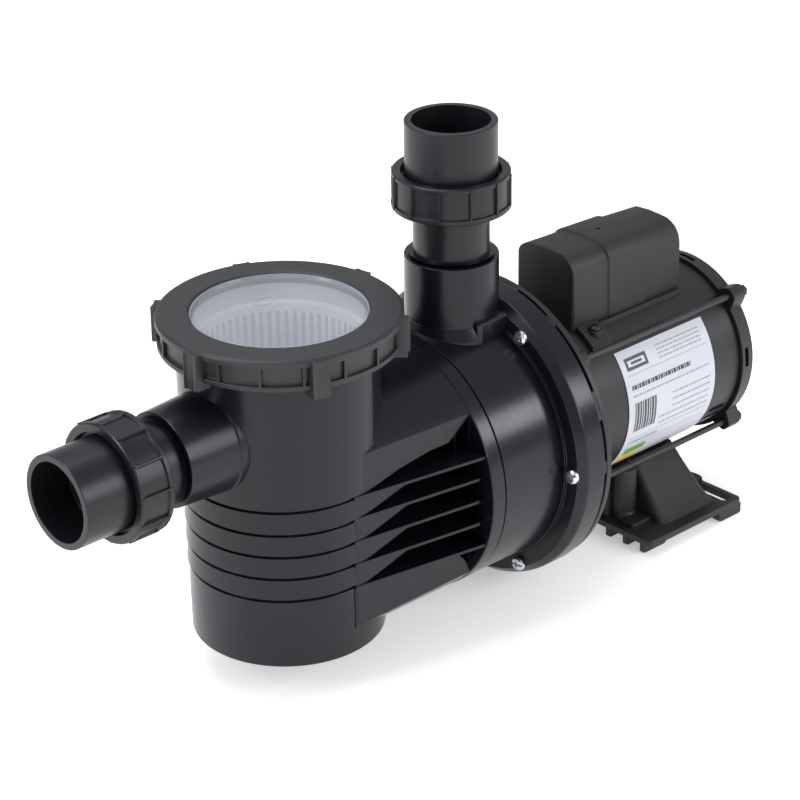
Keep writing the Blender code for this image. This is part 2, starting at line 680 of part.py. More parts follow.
def build_bearing(end, x):
    """Ball bearing: two races and a cage with its balls."""
    low, high = x - BEARING_WIDTH / 2.0, x + BEARING_WIDTH / 2.0
    turned(f"{end}_bearing_outer_race", tube(BEARING_OUTER_R, 17.3, low, high), on_axis(),
           ROUND_SMALL, "steel")
    turned(f"{end}_bearing_inner_race", tube(11.2, BEARING_INNER_R, low, high), on_axis(),
           ROUND_SMALL, "steel")
    ring = tube(BALL_CIRCLE_R + 0.9, BALL_CIRCLE_R - 0.9, x - 0.8, x + 0.8)
    cage = turned(f"{end}_bearing_balls", ring, on_axis(), ROUND_SMALL, "steel")
    shape = bmesh.new()
    for px, py in on_circle(BALL_CIRCLE_R, even_angles(BALL_COUNT)):
        bmesh.ops.create_uvsphere(shape, u_segments=6, v_segments=4, radius=BALL_R * MM,
                                  matrix=Matrix.Translation(Vector((px, py, x)) * MM))
    mesh = bpy.data.meshes.new(f"{end}_balls")
    shape.to_mesh(mesh)
    shape.free()
    return join(cage, add_object(f"{end}_balls", mesh, on_axis()))


def build_cooling_fan():
    """Hub, back disc and straight blades on the shaft behind the rotor."""
    fan = turned("cooling_fan", [
        (10.6, 350.0), (17.0, 350.0), (17.0, 340.5), (50.0, 340.5), (50.0, 338.5), (10.6, 338.5),
    ], on_axis(), ROUND_SMALL, "black plastic")
    low, high = (14.0, -0.9, 339.5), (49.0, 0.9, 349.5)
    blades = boxes("fan_blades", [(low, high, a) for a in even_angles(8)], on_axis())
    return join(fan, blades)


def build_capacitor_cover():
    """Hump on top of the motor with a screw tab at each side, hollow and open below."""
    low, high = COVER_X
    half = COVER_HALF_WIDTH
    cover = box("capacitor_cover", (low, -half, 140.0), (high, half, COVER_TOP_Z), UP, "matte plastic")
    bevel = cover.modifiers.new("rounded", "BEVEL")
    bevel.width = 11.0 * MM
    bevel.segments = 3
    bevel.limit_method = "ANGLE"
    tabs = boxes("cover_tabs", [((236.0, -42.0, 138.0), (256.0, 42.0, 164.0), 0.0)], UP)
    wall = 2.5
    hollow = box("cover_hollow", (low + wall, -half + wall, 130.0),
                 (high - wall, half - wall, COVER_TOP_Z - wall))
    inside = hollow.modifiers.new("rounded", "BEVEL")
    inside.width = 9.0 * MM
    inside.segments = 2
    inside.limit_method = "ANGLE"
    saddle = turned("cover_saddle", rod(SHELL_R + 0.35, 220.0, 350.0), on_axis(), ROUND_BIG)
    shoulders = boxes("cover_tab_tops", [((200.0, y - 20.0, 161.0), (300.0, y + 20.0, 180.0), 0.0)
                                         for y in (-49.0, 49.0)], UP)
    join(cover, tabs)
    cut(cover, hollow, saddle, shoulders, gland_hole(), *tab_holes())
    return cover


def gland_hole():
    return turned("gland_hole", rod(8.4, 330.0, 350.0), place((0.0, 0.0, 186.0), MOTORWARDS), ROUND_TINY)


def tab_holes():
    return [turned(f"tab_hole_{i}", rod(2.2, 130.0, 170.0), place((x, y, 0.0)), 8)
            for i, (x, y) in enumerate(TAB_SCREWS)]


def build_cover_screws():
    for i, (x, y) in enumerate(TAB_SCREWS, start=1):
        turned(f"cover_screw_{i}", [
            (0.0, 164.3), (3.2, 164.3), (4.0, 163.4), (4.0, 161.3), (1.7, 161.3), (1.7, 156.4),
            (0.0, 156.4),
        ], place((x, y, 0.0)), 10, "painted metal")


def build_capacitor():
    turned("capacitor", [(0.0, 322.0), (18.0, 322.0), (18.0, 250.0), (0.0, 250.0)],
           place((0.0, 0.0, 187.5), MOTORWARDS), ROUND_SMALL, "white plastic")


def build_cable_gland():
    turned("cable_gland", [
        (4.0, 352.0), (7.0, 352.0), (10.5, 349.0), (10.5, 340.3), (8.0, 340.3), (8.0, 333.0), (4.0, 333.0),
    ], place((0.0, 0.0, 186.0), MOTORWARDS), ROUND_TINY, "black plastic")


def build_rating_label():
    """Thin sheet wrapped on the shell's near side."""
    band = turned("rating_label", tube(SHELL_R + 0.7, SHELL_R + 0.3, 252.0, 340.0), on_axis(),
                  ROUND_BIG, "label")
    # seen along the axis, angle 0 is down and 90 is the far side
    edges = [math.radians(a) for a in (-28.0, -132.0)]
    reach = 150.0
    wedge = [(0.0, 0.0)] + [(reach * math.cos(a), reach * math.sin(a)) for a in edges]
    return combine(band, "INTERSECT", plate("label_wedge", wedge, 140.0, on_axis(230.0)))


def build_motor_foot():
    """Hollow stand: a plate with ribs underneath and a tapered saddle under the motor."""
    low, high = FOOT_X
    half = FOOT_HALF_WIDTH
    under, top = FOOT_PLATE_Z
    foot = box("motor_foot", (low, -half, under), (high, half, top), UP, "matte plastic")
    column = tapered_column()
    feet = []
    for side in (-1.0, 1.0):
        for y, length in ((71.0, 24.0), (55.0, 14.0), (39.0, 14.0)):
            feet.append(((low + 1.0, side * y - 2.0, 0.0),
                         (low + length, side * y + 2.0, under + 1.0), 0.0))
        feet.append(((330.0, side * 76.5 - 3.5, 0.0), (high, side * 76.5 + 3.5, under + 1.0), 0.0))
    ribs = boxes("foot_ribs", feet, UP)
    hollow = boxes("foot_hollow", [((268.0, -38.0, -5.0), (328.0, 38.0, 34.0), 0.0)], UP)
    saddle = turned("foot_saddle", rod(SHELL_R + 0.35, 240.0, 360.0), on_axis(), ROUND_BIG)
    front, back = FOOT_SLOT_X - 4.5, FOOT_SLOT_X + 4.5
    slots = boxes("foot_slots", [((front, y - 15.0, 0.0), (back, y + 15.0, 20.0), 0.0)
                                 for y in (-61.0, 61.0)], UP)
    holes = rods("foot_screw_holes", FOOT_SCREWS, 2.6, 30.0, 50.0, 8, UP)
    join(foot, column, ribs)
    return cut(foot, hollow, saddle, slots, holes)


def tapered_column():
    """Block that narrows upwards from the foot's plate to the shell."""
    low, high = FOOT_PLATE_Z[1] - 2.0, 47.5
    wide, narrow = 56.0, 33.0
    column = box("foot_column", (262.0, -wide, low), (334.0, wide, high))
    for vertex in column.data.vertices:
        if vertex.co.z > 0.5 * (low + high) * MM:
            vertex.co.y *= narrow / wide
    return column


def build_foot_screws():
    for i, (x, y) in enumerate(FOOT_SCREWS, start=1):
        turned(f"foot_screw_{i}", [
            (0.0, 41.6), (2.2, 41.6), (2.2, 33.7), (4.5, 33.7), (4.5, 31.0), (3.4, 30.0), (0.0, 30.0),
        ], place((x, y, 0.0)), 10, "zinc")


# --- assembly -----------------------------------------------------------------------------
clear_scene()
PARTS = new_collection("pool_pump")
CUTTERS = new_collection("cutters")
ROOT = bpy.data.objects.new("pot_axis_on_floor", None)
PARTS.objects.link(ROOT)
ROOT.location = (-ORIGIN_X * MM, 0.0, 0.0)

build_pump_body()
build_drain_plug()
build_basket()
build_lid()
build_union("suction", -SUCTION_NUT_X, -SUCTION_NUT_X + INLET_RIM_X, SUCTIONWARDS, (0.0, 0.0, INLET_Z))
build_union("discharge", DISCHARGE_NUT_Z, DISCHARGE_NUT_Z - OUTLET_RIM_Z, UP, (OUTLET_X, 0.0, 0.0))
build_diffuser()
build_impeller()
build_shaft_seal()
build_seal_plate()
build_flange_screws()
build_front_shield()
build_stator_shell()
build_rear_shield()
build_through_bolts()
build_stator()
build_rotor()
for end, position in zip(("front", "rear"), BEARING_X):
    build_bearing(end, position)
build_cooling_fan()
build_capacitor_cover()
build_cover_screws()
build_capacitor()
build_cable_gland()
build_rating_label()
build_motor_foot()
build_foot_screws()
bpy.context.view_layer.update()
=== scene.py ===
"""Looks of the pool pump: detailed mouldings, motor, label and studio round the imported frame.

Lengths in the helpers are millimetres from the strainer pot's axis (X towards the motor, Y from the
plane of symmetry, Z from the floor). The frame gives the places of the axes.
"""
import math

import bmesh
import bpy
from mathutils import Matrix, Vector


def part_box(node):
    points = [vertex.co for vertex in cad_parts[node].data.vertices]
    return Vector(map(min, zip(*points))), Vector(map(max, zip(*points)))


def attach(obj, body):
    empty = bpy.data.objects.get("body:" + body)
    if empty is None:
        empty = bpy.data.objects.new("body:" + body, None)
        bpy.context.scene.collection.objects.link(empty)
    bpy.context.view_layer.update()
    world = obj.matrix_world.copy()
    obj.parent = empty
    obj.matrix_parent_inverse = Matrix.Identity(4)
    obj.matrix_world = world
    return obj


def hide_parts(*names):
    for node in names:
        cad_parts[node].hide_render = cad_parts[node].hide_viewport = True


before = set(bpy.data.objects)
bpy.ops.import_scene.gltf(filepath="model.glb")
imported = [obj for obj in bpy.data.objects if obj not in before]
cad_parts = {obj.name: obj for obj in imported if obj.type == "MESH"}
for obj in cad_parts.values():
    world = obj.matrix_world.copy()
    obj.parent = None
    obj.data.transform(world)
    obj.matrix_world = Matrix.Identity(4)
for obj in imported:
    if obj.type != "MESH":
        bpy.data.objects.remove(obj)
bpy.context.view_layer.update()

MM = 0.001


def middle(node):
    low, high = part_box(node)
    return (low + high) / 2.0


def span_mm(node, axis):
    """Lowest and highest coordinate of a CAD node along an axis, in the script's millimetres."""
    low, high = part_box(node)
    shift = POT_X if axis == 0 else 0.0
    return (low[axis] - shift) / MM, (high[axis] - shift) / MM


# --- places taken from the frame ------------------------------------------------------------
POT_X = middle("lid_lens").x
AXIS_Z = middle("shaft").z / MM
OUTLET_X = (middle("discharge_tailpiece").x - POT_X) / MM
INLET_Z = middle("suction_tailpiece").z / MM
LID_TOP = span_mm("lid_ring", 2)[1]
LID_BOTTOM = span_mm("lid_ring", 2)[0]
BODY_END = span_mm("pump_body", 0)[1]
INLET_RIM = -span_mm("pump_body", 0)[0]
OUTLET_RIM = span_mm("pump_body", 2)[1]
SUCTION_NUT = -span_mm("suction_nut", 0)[1]
DISCHARGE_NUT = span_mm("discharge_nut", 2)[0]
NUT_HEIGHT = span_mm("discharge_nut", 2)[1] - DISCHARGE_NUT
TAIL_END = span_mm("discharge_tailpiece", 2)[1] - DISCHARGE_NUT
SHELL_X = span_mm("stator_shell", 0)
MOTOR_END = span_mm("motor_rear_shield", 0)[1]
FOOT_X = span_mm("motor_foot", 0)

# --- sizes of visible details ---------------------------------------------------------------
POT_R = 65.0
POT_BASE_R = 62.3
POT_BASE_Z = 25.0
POT_TOP_Z = 229.8
BAND_Z = (137.2, 121.2, 105.9, 90.4, 74.7)
FIN_Z = (72.2, 88.2, 104.2, 120.2, 135.2)
VOLUTE_R = 88.0
VOLUTE_X = 98.0
FLANGE_R = 104.0
FLANGE_X = 163.0
SCREW_R = 96.0
FLOW_R = 21.5               # water bore of sockets and unions
SOCKET_R = 30.85            # rim of the body's two pipe sockets
NIPPLE_REACH = 25.7         # how far a nipple goes into its socket
SHELL_R = 61.8
SHELL_BED_R = 62.15         # curve of the pieces that sit on the shell
ROD_R = 68.6
ROD_ANGLES = (45.0, 135.0, 225.0, 315.0)
TAB_SCREW_X = 246.0
TAB_SCREW_Y = 35.0
GLAND_Z = 186.0
DRAIN_Z = 44.0

FINE = 160
MEDIUM = 96
SMALL = 40

WELD = 0.000002             # metres within which a finished mesh's vertices become one
CREASE = 32.0               # degrees above which an edge is shaded sharp

UP = Matrix.Identity(4)
MOTORWARDS = Matrix.Rotation(math.radians(90.0), 4, "Y")
SUCTIONWARDS = Matrix.Rotation(math.radians(-90.0), 4, "Y")
FARWARDS = Matrix.Rotation(math.radians(-90.0), 4, "X")
NEARWARDS = Matrix.Rotation(math.radians(90.0), 4, "X")


def spin(angle):
    return Matrix.Rotation(math.radians(angle), 4, "Z")


def beside(axis, radius, angle):
    """Matrix of a parallel axis at a radius and an angle round another one."""
    x, y = on_circle(radius * MM, angle)
    return axis @ Matrix.Translation((x, y, 0.0))


def place(at=(0.0, 0.0, 0.0), turn=UP):
    """Matrix of a place in the script's millimetres, with a turn of the Z axis."""
    shift = Vector((POT_X, 0.0, 0.0))
    return Matrix.Translation(shift + Vector(at) * MM) @ turn


def on_axis(angle=0.0):
    """Matrix of the shaft's axis, turned round itself by degrees."""
    return place((0.0, 0.0, AXIS_Z), MOTORWARDS) @ spin(angle)


def on_pot(angle=0.0):
    """Matrix of the pot's axis, turned round itself by degrees."""
    return place() @ spin(angle)


# --- shape helpers --------------------------------------------------------------------------
def on_circle(radius, angle):
    return radius * math.cos(math.radians(angle)), radius * math.sin(math.radians(angle))


def even_angles(count, first=0.0):
    return [first + 360.0 * i / count for i in range(count)]


def filleted(points, closed=True, steps=3):
    """Round the corners of an outline of (x, y) or (x, y, radius) points."""
    rounded = []
    count = len(points)
    for i, point in enumerate(points):
        radius = point[2] if len(point) > 2 else 0.0
        corner = Vector(point[:2])
        if radius == 0.0 or (not closed and i in (0, count - 1)):
            rounded.append(corner)
            continue
        before = Vector(points[i - 1][:2]) - corner
        after = Vector(points[(i + 1) % count][:2]) - corner
        half = before.angle(after) / 2.0
        reach = min(radius / math.tan(half), 0.48 * before.length, 0.48 * after.length)
        start, end = corner + before.normalized() * reach, corner + after.normalized() * reach
        for k in range(steps + 1):
            t = k / steps
            rounded.append((1 - t) ** 2 * start + 2 * t * (1 - t) * corner + t * t * end)
    return [(p[0], p[1]) for p in rounded]


def new_object(name, mesh, matrix):
    mesh.transform(matrix)
    item = bpy.data.objects.new(name, mesh)
    bpy.context.scene.collection.objects.link(item)
    return item


def lathe(name, profile, matrix, sides=MEDIUM, steps=3):
    """Turn a closed profile of (radius, height, fillet) points, outer side from top to bottom."""
    solid = min(point[0] for point in profile) <= 0.0
    line = filleted(profile, closed=not solid, steps=steps)
    shape = bmesh.new()
    rings = []
    for radius, height in line:
        if radius <= 1e-6:
            rings.append([shape.verts.new((0.0, 0.0, height * MM))] * sides)
            continue
        ring = []
        for angle in even_angles(sides):
            x, y = on_circle(radius * MM, angle)
            ring.append(shape.verts.new((x, y, height * MM)))
        rings.append(ring)
    pairs = list(zip(rings, rings[1:]))
    if not solid:
        pairs.append((rings[-1], rings[0]))
    for upper, lower in pairs:
        for i in range(sides):
            j = (i + 1) % sides
            corners = [upper[i], lower[i], lower[j], upper[j]]
            corners = [v for k, v in enumerate(corners) if v not in corners[:k]]
            if len(corners) > 2:
                shape.faces.new(corners)
    return finish_mesh(name, shape, matrix)


def finish_mesh(name, shape, matrix):
    mesh = bpy.data.meshes.new(name)
    bmesh.ops.recalc_face_normals(shape, faces=shape.faces)
    shape.to_mesh(mesh)
    shape.free()
    return new_object(name, mesh, matrix)


def prism(name, outline, low, high, matrix, bevel=0.0):
    """Extrude an outline of (x, y, fillet) points from one height to another."""
    line = filleted(outline)
    shape = bmesh.new()
    lower = [shape.verts.new((x * MM, y * MM, low * MM)) for x, y in line]
    upper = [shape.verts.new((x * MM, y * MM, high * MM)) for x, y in line]
    shape.faces.new(upper)
    shape.faces.new(lower[::-1])
    for i in range(len(line)):
        j = (i + 1) % len(line)
        shape.faces.new((lower[i], lower[j], upper[j], upper[i]))
    if bevel > 0.0:
        bmesh.ops.recalc_face_normals(shape, faces=shape.faces)
        flat = [e for e in shape.edges if e.is_manifold and e.calc_face_angle() > 0.6]
        bmesh.ops.bevel(shape, geom=flat, offset=bevel * MM, segments=2, profile=0.5,
                        affect="EDGES", clamp_overlap=True)
    return finish_mesh(name, shape, matrix)


def block(name, low, high, matrix, bevel=0.0, corner=0.0):
    """Box between two corners, with rounded upright edges and bevelled rims."""
    outline = [(low[0], low[1], corner), (high[0], low[1], corner), (high[0], high[1], corner),
               (low[0], high[1], corner)]
    return prism(name, outline, low[2], high[2], matrix, bevel)


def loft(name, rings, matrix):
    """Skin a list of rings, each with the same number of points in millimetres."""
    shape = bmesh.new()
    rows = [[shape.verts.new(Vector(p) * MM) for p in ring] for ring in rings]
    for a, b in zip(rows, rows[1:]):
        for i in range(len(a)):
            j = (i + 1) % len(a)
            shape.faces.new((a[i], a[j], b[j], b[i]))
    shape.faces.new(rows[0][::-1])
    shape.faces.new(rows[-1])
    return finish_mesh(name, shape, matrix)


def carve(target, operation, tools):
    """Apply Booleans one after another, and remove the tools."""
    for tool in tools:
        step = target.modifiers.new("step", "BOOLEAN")
        step.operation = operation
        step.solver = "EXACT"
        step.object = tool
    bpy.context.view_layer.update()
    evaluated = target.evaluated_get(bpy.context.evaluated_depsgraph_get())
    mesh = bpy.data.meshes.new_from_object(evaluated)
    target.modifiers.clear()
    target.data = mesh
    for tool in tools:
        bpy.data.objects.remove(tool, do_unlink=True)
    return target


def add(target, *tools):
    return carve(target, "UNION", tools)


def cut(target, *tools):
    return carve(target, "DIFFERENCE", tools)


def keep(target, *tools):
    return carve(target, "INTERSECT", tools)


def merged(name, pieces):
    """One object out of separate meshes that don't touch."""
    shape = bmesh.new()
    for piece in pieces:
        shape.from_mesh(piece.data)
        bpy.data.objects.remove(piece, do_unlink=True)
    mesh = bpy.data.meshes.new(name)
    shape.to_mesh(mesh)
    shape.free()
    item = bpy.data.objects.new(name, mesh)
    bpy.context.scene.collection.objects.link(item)
    return item


def finished(item, material, body, slot, *nodes):
    """Clean and shade a piece, give it its material, and tie it to the frame."""
    shape = bmesh.new()
    shape.from_mesh(item.data)
    bmesh.ops.remove_doubles(shape, verts=shape.verts, dist=WELD)
    bmesh.ops.dissolve_degenerate(shape, edges=shape.edges, dist=WELD)
    shape.to_mesh(item.data)
    shape.free()
    item.data.shade_smooth()
    item.data.set_sharp_from_angle(angle=math.radians(CREASE))
    weighted = item.modifiers.new("weighted", "WEIGHTED_NORMAL")
    weighted.keep_sharp = True
    item.data.materials.clear()
    item.data.materials.append(material)
    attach(item, body)
    if nodes:
        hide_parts(*nodes)
    return item


# --- materials ------------------------------------------------------------------------------
def moulded(name, colour, roughness, spread=0.06, grain=900.0, bump=0.04, wave=14.0, coat=0.0,
            metallic=0.0, shade=0.14, specular=0.5):
    """Plastic or painted surface: uneven gloss, slight cloudiness and a fine grain."""
    material = bpy.data.materials.new(name)
    material.use_nodes = True
    nodes, links = material.node_tree.nodes, material.node_tree.links
    shader = nodes["Principled BSDF"]
    shader.inputs["Metallic"].default_value = metallic
    shader.inputs["Specular IOR Level"].default_value = specular
    shader.inputs["Coat Weight"].default_value = coat
    shader.inputs["Coat Roughness"].default_value = 0.12
    place_node = nodes.new("ShaderNodeTexCoord")
    cloud = nodes.new("ShaderNodeTexNoise")
    cloud.inputs["Scale"].default_value = wave
    cloud.inputs["Detail"].default_value = 4.0
    links.new(place_node.outputs["Object"], cloud.inputs["Vector"])
    tint = nodes.new("ShaderNodeValToRGB")
    tint.color_ramp.elements[0].position = 0.3
    tint.color_ramp.elements[0].color = (*[c * (1.0 - shade) for c in colour], 1.0)
    tint.color_ramp.elements[1].position = 0.7
    tint.color_ramp.elements[1].color = (*[c * (1.0 + shade) for c in colour], 1.0)
    links.new(cloud.outputs["Fac"], tint.inputs["Fac"])
    links.new(tint.outputs["Color"], shader.inputs["Base Color"])
    gloss = nodes.new("ShaderNodeMapRange")
    gloss.inputs["From Min"].default_value = 0.3
    gloss.inputs["From Max"].default_value = 0.7
    gloss.inputs["To Min"].default_value = roughness - spread
    gloss.inputs["To Max"].default_value = roughness + spread
    links.new(cloud.outputs["Fac"], gloss.inputs["Value"])
    links.new(gloss.outputs["Result"], shader.inputs["Roughness"])
    fine = nodes.new("ShaderNodeTexNoise")
    fine.inputs["Scale"].default_value = grain
    fine.inputs["Detail"].default_value = 2.0
    links.new(place_node.outputs["Object"], fine.inputs["Vector"])
    relief = nodes.new("ShaderNodeBump")
    relief.inputs["Strength"].default_value = bump
    relief.inputs["Distance"].default_value = 0.0004
    links.new(fine.outputs["Fac"], relief.inputs["Height"])
    links.new(relief.outputs["Normal"], shader.inputs["Normal"])
    return material


def clear_plastic(name, alpha):
    """Slightly hazed clear moulding, milky where the light catches it."""
    material = moulded(name, (0.56, 0.58, 0.63), 0.16, 0.05, 500.0, 0.02, 9.0, coat=0.6)
    material.node_tree.nodes["Principled BSDF"].inputs["Alpha"].default_value = alpha
    return material


BODY_BLACK = moulded("body_black", (0.0048, 0.0050, 0.0076), 0.25, 0.04, 700.0, 0.03, 11.0, specular=0.36)
FITTING_BLACK = moulded("fitting_black", (0.0068, 0.0070, 0.0090), 0.34, 0.06, 800.0, 0.05, 16.0,
                        specular=0.40)
RING_BLACK = moulded("ring_black", (0.016, 0.0164, 0.018), 0.46, 0.05, 900.0, 0.08, 14.0)
MATTE_BLACK = moulded("matte_black", (0.010, 0.0103, 0.0115), 0.55, 0.05, 1400.0, 0.16, 20.0)
FOOT_BLACK = moulded("foot_black", (0.008, 0.0083, 0.0095), 0.46, 0.06, 1000.0, 0.10, 18.0)
PLATE_BLACK = moulded("plate_black", (0.009, 0.0093, 0.0105), 0.44, 0.05, 900.0, 0.08, 15.0)
PAINT_BLACK = moulded("paint_black", (0.009, 0.0093, 0.0105), 0.46, 0.06, 420.0, 0.10, 24.0)
ROD_BLACK = moulded("rod_black", (0.012, 0.0123, 0.013), 0.40, 0.06, 600.0, 0.05, 60.0)
ZINC = moulded("zinc", (0.70, 0.73, 0.75), 0.26, 0.08, 1500.0, 0.06, 160.0, metallic=1.0)
STEEL = moulded("steel", (0.52, 0.53, 0.55), 0.32, 0.08, 1200.0, 0.08, 90.0, metallic=1.0)
LAMINATED = moulded("laminated", (0.36, 0.36, 0.38), 0.50, 0.08, 1600.0, 0.20, 120.0, metallic=0.9)
COPPER = moulded("copper", (0.62, 0.26, 0.12), 0.38, 0.08, 900.0, 0.30, 140.0, metallic=0.8)
RUBBER = moulded("rubber", (0.018, 0.018, 0.019), 0.72, 0.06, 1500.0, 0.10, 40.0)
CERAMIC = moulded("ceramic", (0.80, 0.78, 0.72), 0.28, 0.04, 1500.0, 0.02, 60.0)
CARBON = moulded("carbon", (0.04, 0.04, 0.045), 0.36, 0.06, 1200.0, 0.06, 60.0)
BASKET_WHITE = moulded("basket_white", (0.62, 0.63, 0.66), 0.45, 0.05, 600.0, 0.04, 14.0)
CASE_GREY = moulded("case_grey", (0.60, 0.61, 0.62), 0.42, 0.05, 800.0, 0.04, 30.0)
LABEL_WHITE = moulded("label_white", (0.555, 0.56, 0.60), 0.42, 0.05, 900.0, 0.02, 10.0, coat=0.1,
                      shade=0.03)
INK_BLACK = moulded("ink_black", (0.05, 0.05, 0.055), 0.45, 0.04, 900.0, 0.02, 200.0)
INK_GREY = moulded("ink_grey", (0.30, 0.30, 0.32), 0.45, 0.04, 900.0, 0.02, 200.0)
INK_GREEN = moulded("ink_green", (0.13, 0.30, 0.07), 0.45, 0.04, 900.0, 0.02, 200.0)
INK_YELLOW = moulded("ink_yellow", (0.62, 0.52, 0.08), 0.45, 0.04, 900.0, 0.02, 200.0)
INK_ORANGE = moulded("ink_orange", (0.60, 0.28, 0.06), 0.45, 0.04, 900.0, 0.02, 200.0)
LENS = clear_plastic("lens_clear", 0.32)


# --- pump body ------------------------------------------------------------------------------
def draft(z):
    """Radius of the pot's tapering wall at a height."""
    return POT_BASE_R + (POT_R - POT_BASE_R) * (z - POT_BASE_Z) / (210.0 - POT_BASE_Z)


def pot():
    """Pot with shingled bands: each one flares down to a lip over the band below."""
    profile = [(0.0, POT_TOP_Z), (POT_R - 0.4, POT_TOP_Z, 0.6), (POT_R, 212.0)]
    for z in BAND_Z:
        wall_r = draft(z)
        profile += [(wall_r + 0.75, z, 0.3), (wall_r - 1.9, z - 0.1, 0.2), (wall_r - 1.9, z - 2.0, 0.3),
                    (wall_r - 0.4, z - 2.9, 0.5)]
    profile += [(draft(52.0), 52.0), (POT_BASE_R, POT_BASE_Z, 2.0), (0.0, POT_BASE_Z)]
    wall = lathe("pump_body", profile, place(), FINE)
    # the jacket ends in a step beside the volute, where the neck is slimmer
    sleeve = lathe("neck_relief", [(74.0, 219.0), (74.0, 108.0), (61.6, 108.0, 1.0), (61.6, 219.0, 1.0)],
                   place(), FINE)
    keep(sleeve, block("neck_side", (19.5, -80.0, 100.0), (90.0, 80.0, 230.0), place()))
    return cut(wall, sleeve)


def tunnel():
    """Casing between pot and volute, with a draft on its flat sides."""
    casing = lathe("tunnel", [(0.0, VOLUTE_X + 6.0), (VOLUTE_R - 0.6, VOLUTE_X + 6.0), (VOLUTE_R - 0.6, 1.0),
                              (0.0, 1.0)], on_axis(), FINE)
    start, near, far = 63.1, 64.1, 66.4
    outline = [(1.0, -start), (4.0, -near), (110.0, -far), (110.0, far), (4.0, near), (1.0, start)]
    keep(casing, prism("tunnel_sides", outline, 30.0, 200.0, place()))
    return cut(casing, parting_line(-1.0), parting_line(1.0))


def parting_line(side):
    """Shallow groove along the tunnel's side, whose floor follows the side's draft."""
    front, back, outside, width = 2.0, 97.0, 70.0, 0.35
    front_floor, back_floor = 63.9, 65.9425
    front_z, back_z = 164.4, 161.2
    line = [(front, outside, front_z), (back, outside, back_z), (back, back_floor, back_z),
            (front, front_floor, front_z)]
    rings = [[(x, side * y, z + rise) for x, y, z in line] for rise in (-width, 0.0)]
    return loft("parting_line", rings, place())


def pocket(name, points, side, depth_at):
    """Cutter whose floor follows a depth for each corner of its outline in the XZ plane."""
    outer = [(x, side * 95.0, z) for x, z in points]
    inner = [(x, side * depth, z) for (x, z), depth in zip(points, depth_at)]
    tool = loft(name, [outer, inner], place())
    shape = bmesh.new()
    shape.from_mesh(tool.data)
    bmesh.ops.triangulate(shape, faces=shape.faces)
    bmesh.ops.recalc_face_normals(shape, faces=shape.faces)
    shape.to_mesh(tool.data)
    shape.free()
    return tool


def pockets():
    """Recesses between the fins: shallow at a slanting crease, deep beside the volute."""
    end, deep = VOLUTE_X - 0.8, 44.0
    tools = []
    for side in (-1.0, 1.0):
        for i, (low, high) in enumerate(zip(FIN_Z, FIN_Z[1:])):
            outline = [(7.0, low + 0.6), (58.0, high - 0.6), (end, high - 0.6), (end, low + 0.6)]
            tools.append(pocket(f"pocket_{i}_{side:+.0f}", outline, side, (64.3, 65.4, deep, deep)))
        top = FIN_Z[-1] + 0.6
        outline = [(8.0, top), (38.0, top + 7.5), (64.0, top + 11.0), (80.0, top + 11.0), (end, top + 24.0),
                   (end, top)]
        tools.append(pocket(f"pocket_top_{side:+.0f}", outline, side, (64.3, 64.8, 65.4, 60.0, deep, deep)))
        low = FIN_Z[0] - 0.6
        outline = [(80.0, low), (end, low), (end, low - 18.0)]
        tools.append(pocket(f"pocket_low_{side:+.0f}", outline, side, (60.0, deep, deep)))
    return tools


def fins():
    """Five thin plates a side, whose free edges flare out to the volute's front edge."""
    plates = []
    for side in (-1.0, 1.0):
        for i, z in enumerate(FIN_Z):
            end = VOLUTE_X + 1.0 if i in (0, 4) else VOLUTE_X - 1.6
            reach = 81.0 if i in (0, 4) else 79.5
            outline = [(1.0, side * 63.0), (1.0, side * 64.2), (end, side * reach, 2.0), (end, side * 50.0),
                       (40.0, side * 50.0)]
            plates.append(prism(f"fin_{i}_{side:+.0f}", outline, z - 1.1, z + 1.1, place(), 0.35))
    webs = []
    for side in (-1.0, 1.0):
        for low, high, reach in ((FIN_Z[-1], 160.0, 62.0), (52.0, FIN_Z[0], 60.0)):
            right, left = sorted((side * 42.0, side * reach))
            webs.append(block("web", (88.5, right, low), (90.0, left, high), place(), 0.2))
    return plates + webs


def volute():
    """Drum with a front band and the bolted flange, in one turned shape."""
    face = FLANGE_X
    seam = 109.7
    return lathe("volute", [
        (0.0, BODY_END), (FLANGE_R, BODY_END, 0.8), (FLANGE_R, face + 5.2, 4.5), (FLANGE_R - 4.6, face, 0.9),
        (90.4, face), (90.1, face - 0.6, 0.15), (89.8, face, 0.1), (VOLUTE_R + 0.1, face, 2.5),
        (VOLUTE_R - 0.6, seam + 0.9, 0.3), (VOLUTE_R - 1.8, seam + 0.4), (VOLUTE_R - 1.8, seam - 0.4),
        (VOLUTE_R, seam - 0.9, 0.3), (VOLUTE_R, VOLUTE_X, 1.4), (0.0, VOLUTE_X),
    ], on_axis(), FINE)


def sockets():
    """Inlet and outlet pipe sockets, the outlet's saddle on the volute, and the drain's boss."""
    inlet = lathe("inlet_socket", [
        (0.0, INLET_RIM), (SOCKET_R, INLET_RIM, 0.7), (33.0, 62.0, 0.5), (33.9, 60.8, 0.4), (33.9, 56.0, 0.5),
        (33.2, 54.8), (33.2, 45.0), (0.0, 45.0),
    ], place((0.0, 0.0, INLET_Z), SUCTIONWARDS), MEDIUM)
    riser = lathe("outlet_socket", [
        (0.0, OUTLET_RIM), (SOCKET_R, OUTLET_RIM, 0.8), (SOCKET_R, 196.0, 3.0), (34.5, 189.0), (34.5, 176.0),
        (0.0, 176.0),
    ], place((OUTLET_X, 0.0, 0.0)), MEDIUM)
    saddle = block("outlet_saddle", (137.5, -34.5, 160.0), (FLANGE_X + 3.0, 34.5, 199.5), place(), 2.0, 4.0)
    drain = lathe("drain_boss", [(0.0, 68.0), (11.0, 68.0, 0.8), (12.5, 50.0), (0.0, 50.0)],
                  place((0.0, 0.0, DRAIN_Z), FARWARDS), SMALL)
    return inlet, riser, saddle, drain


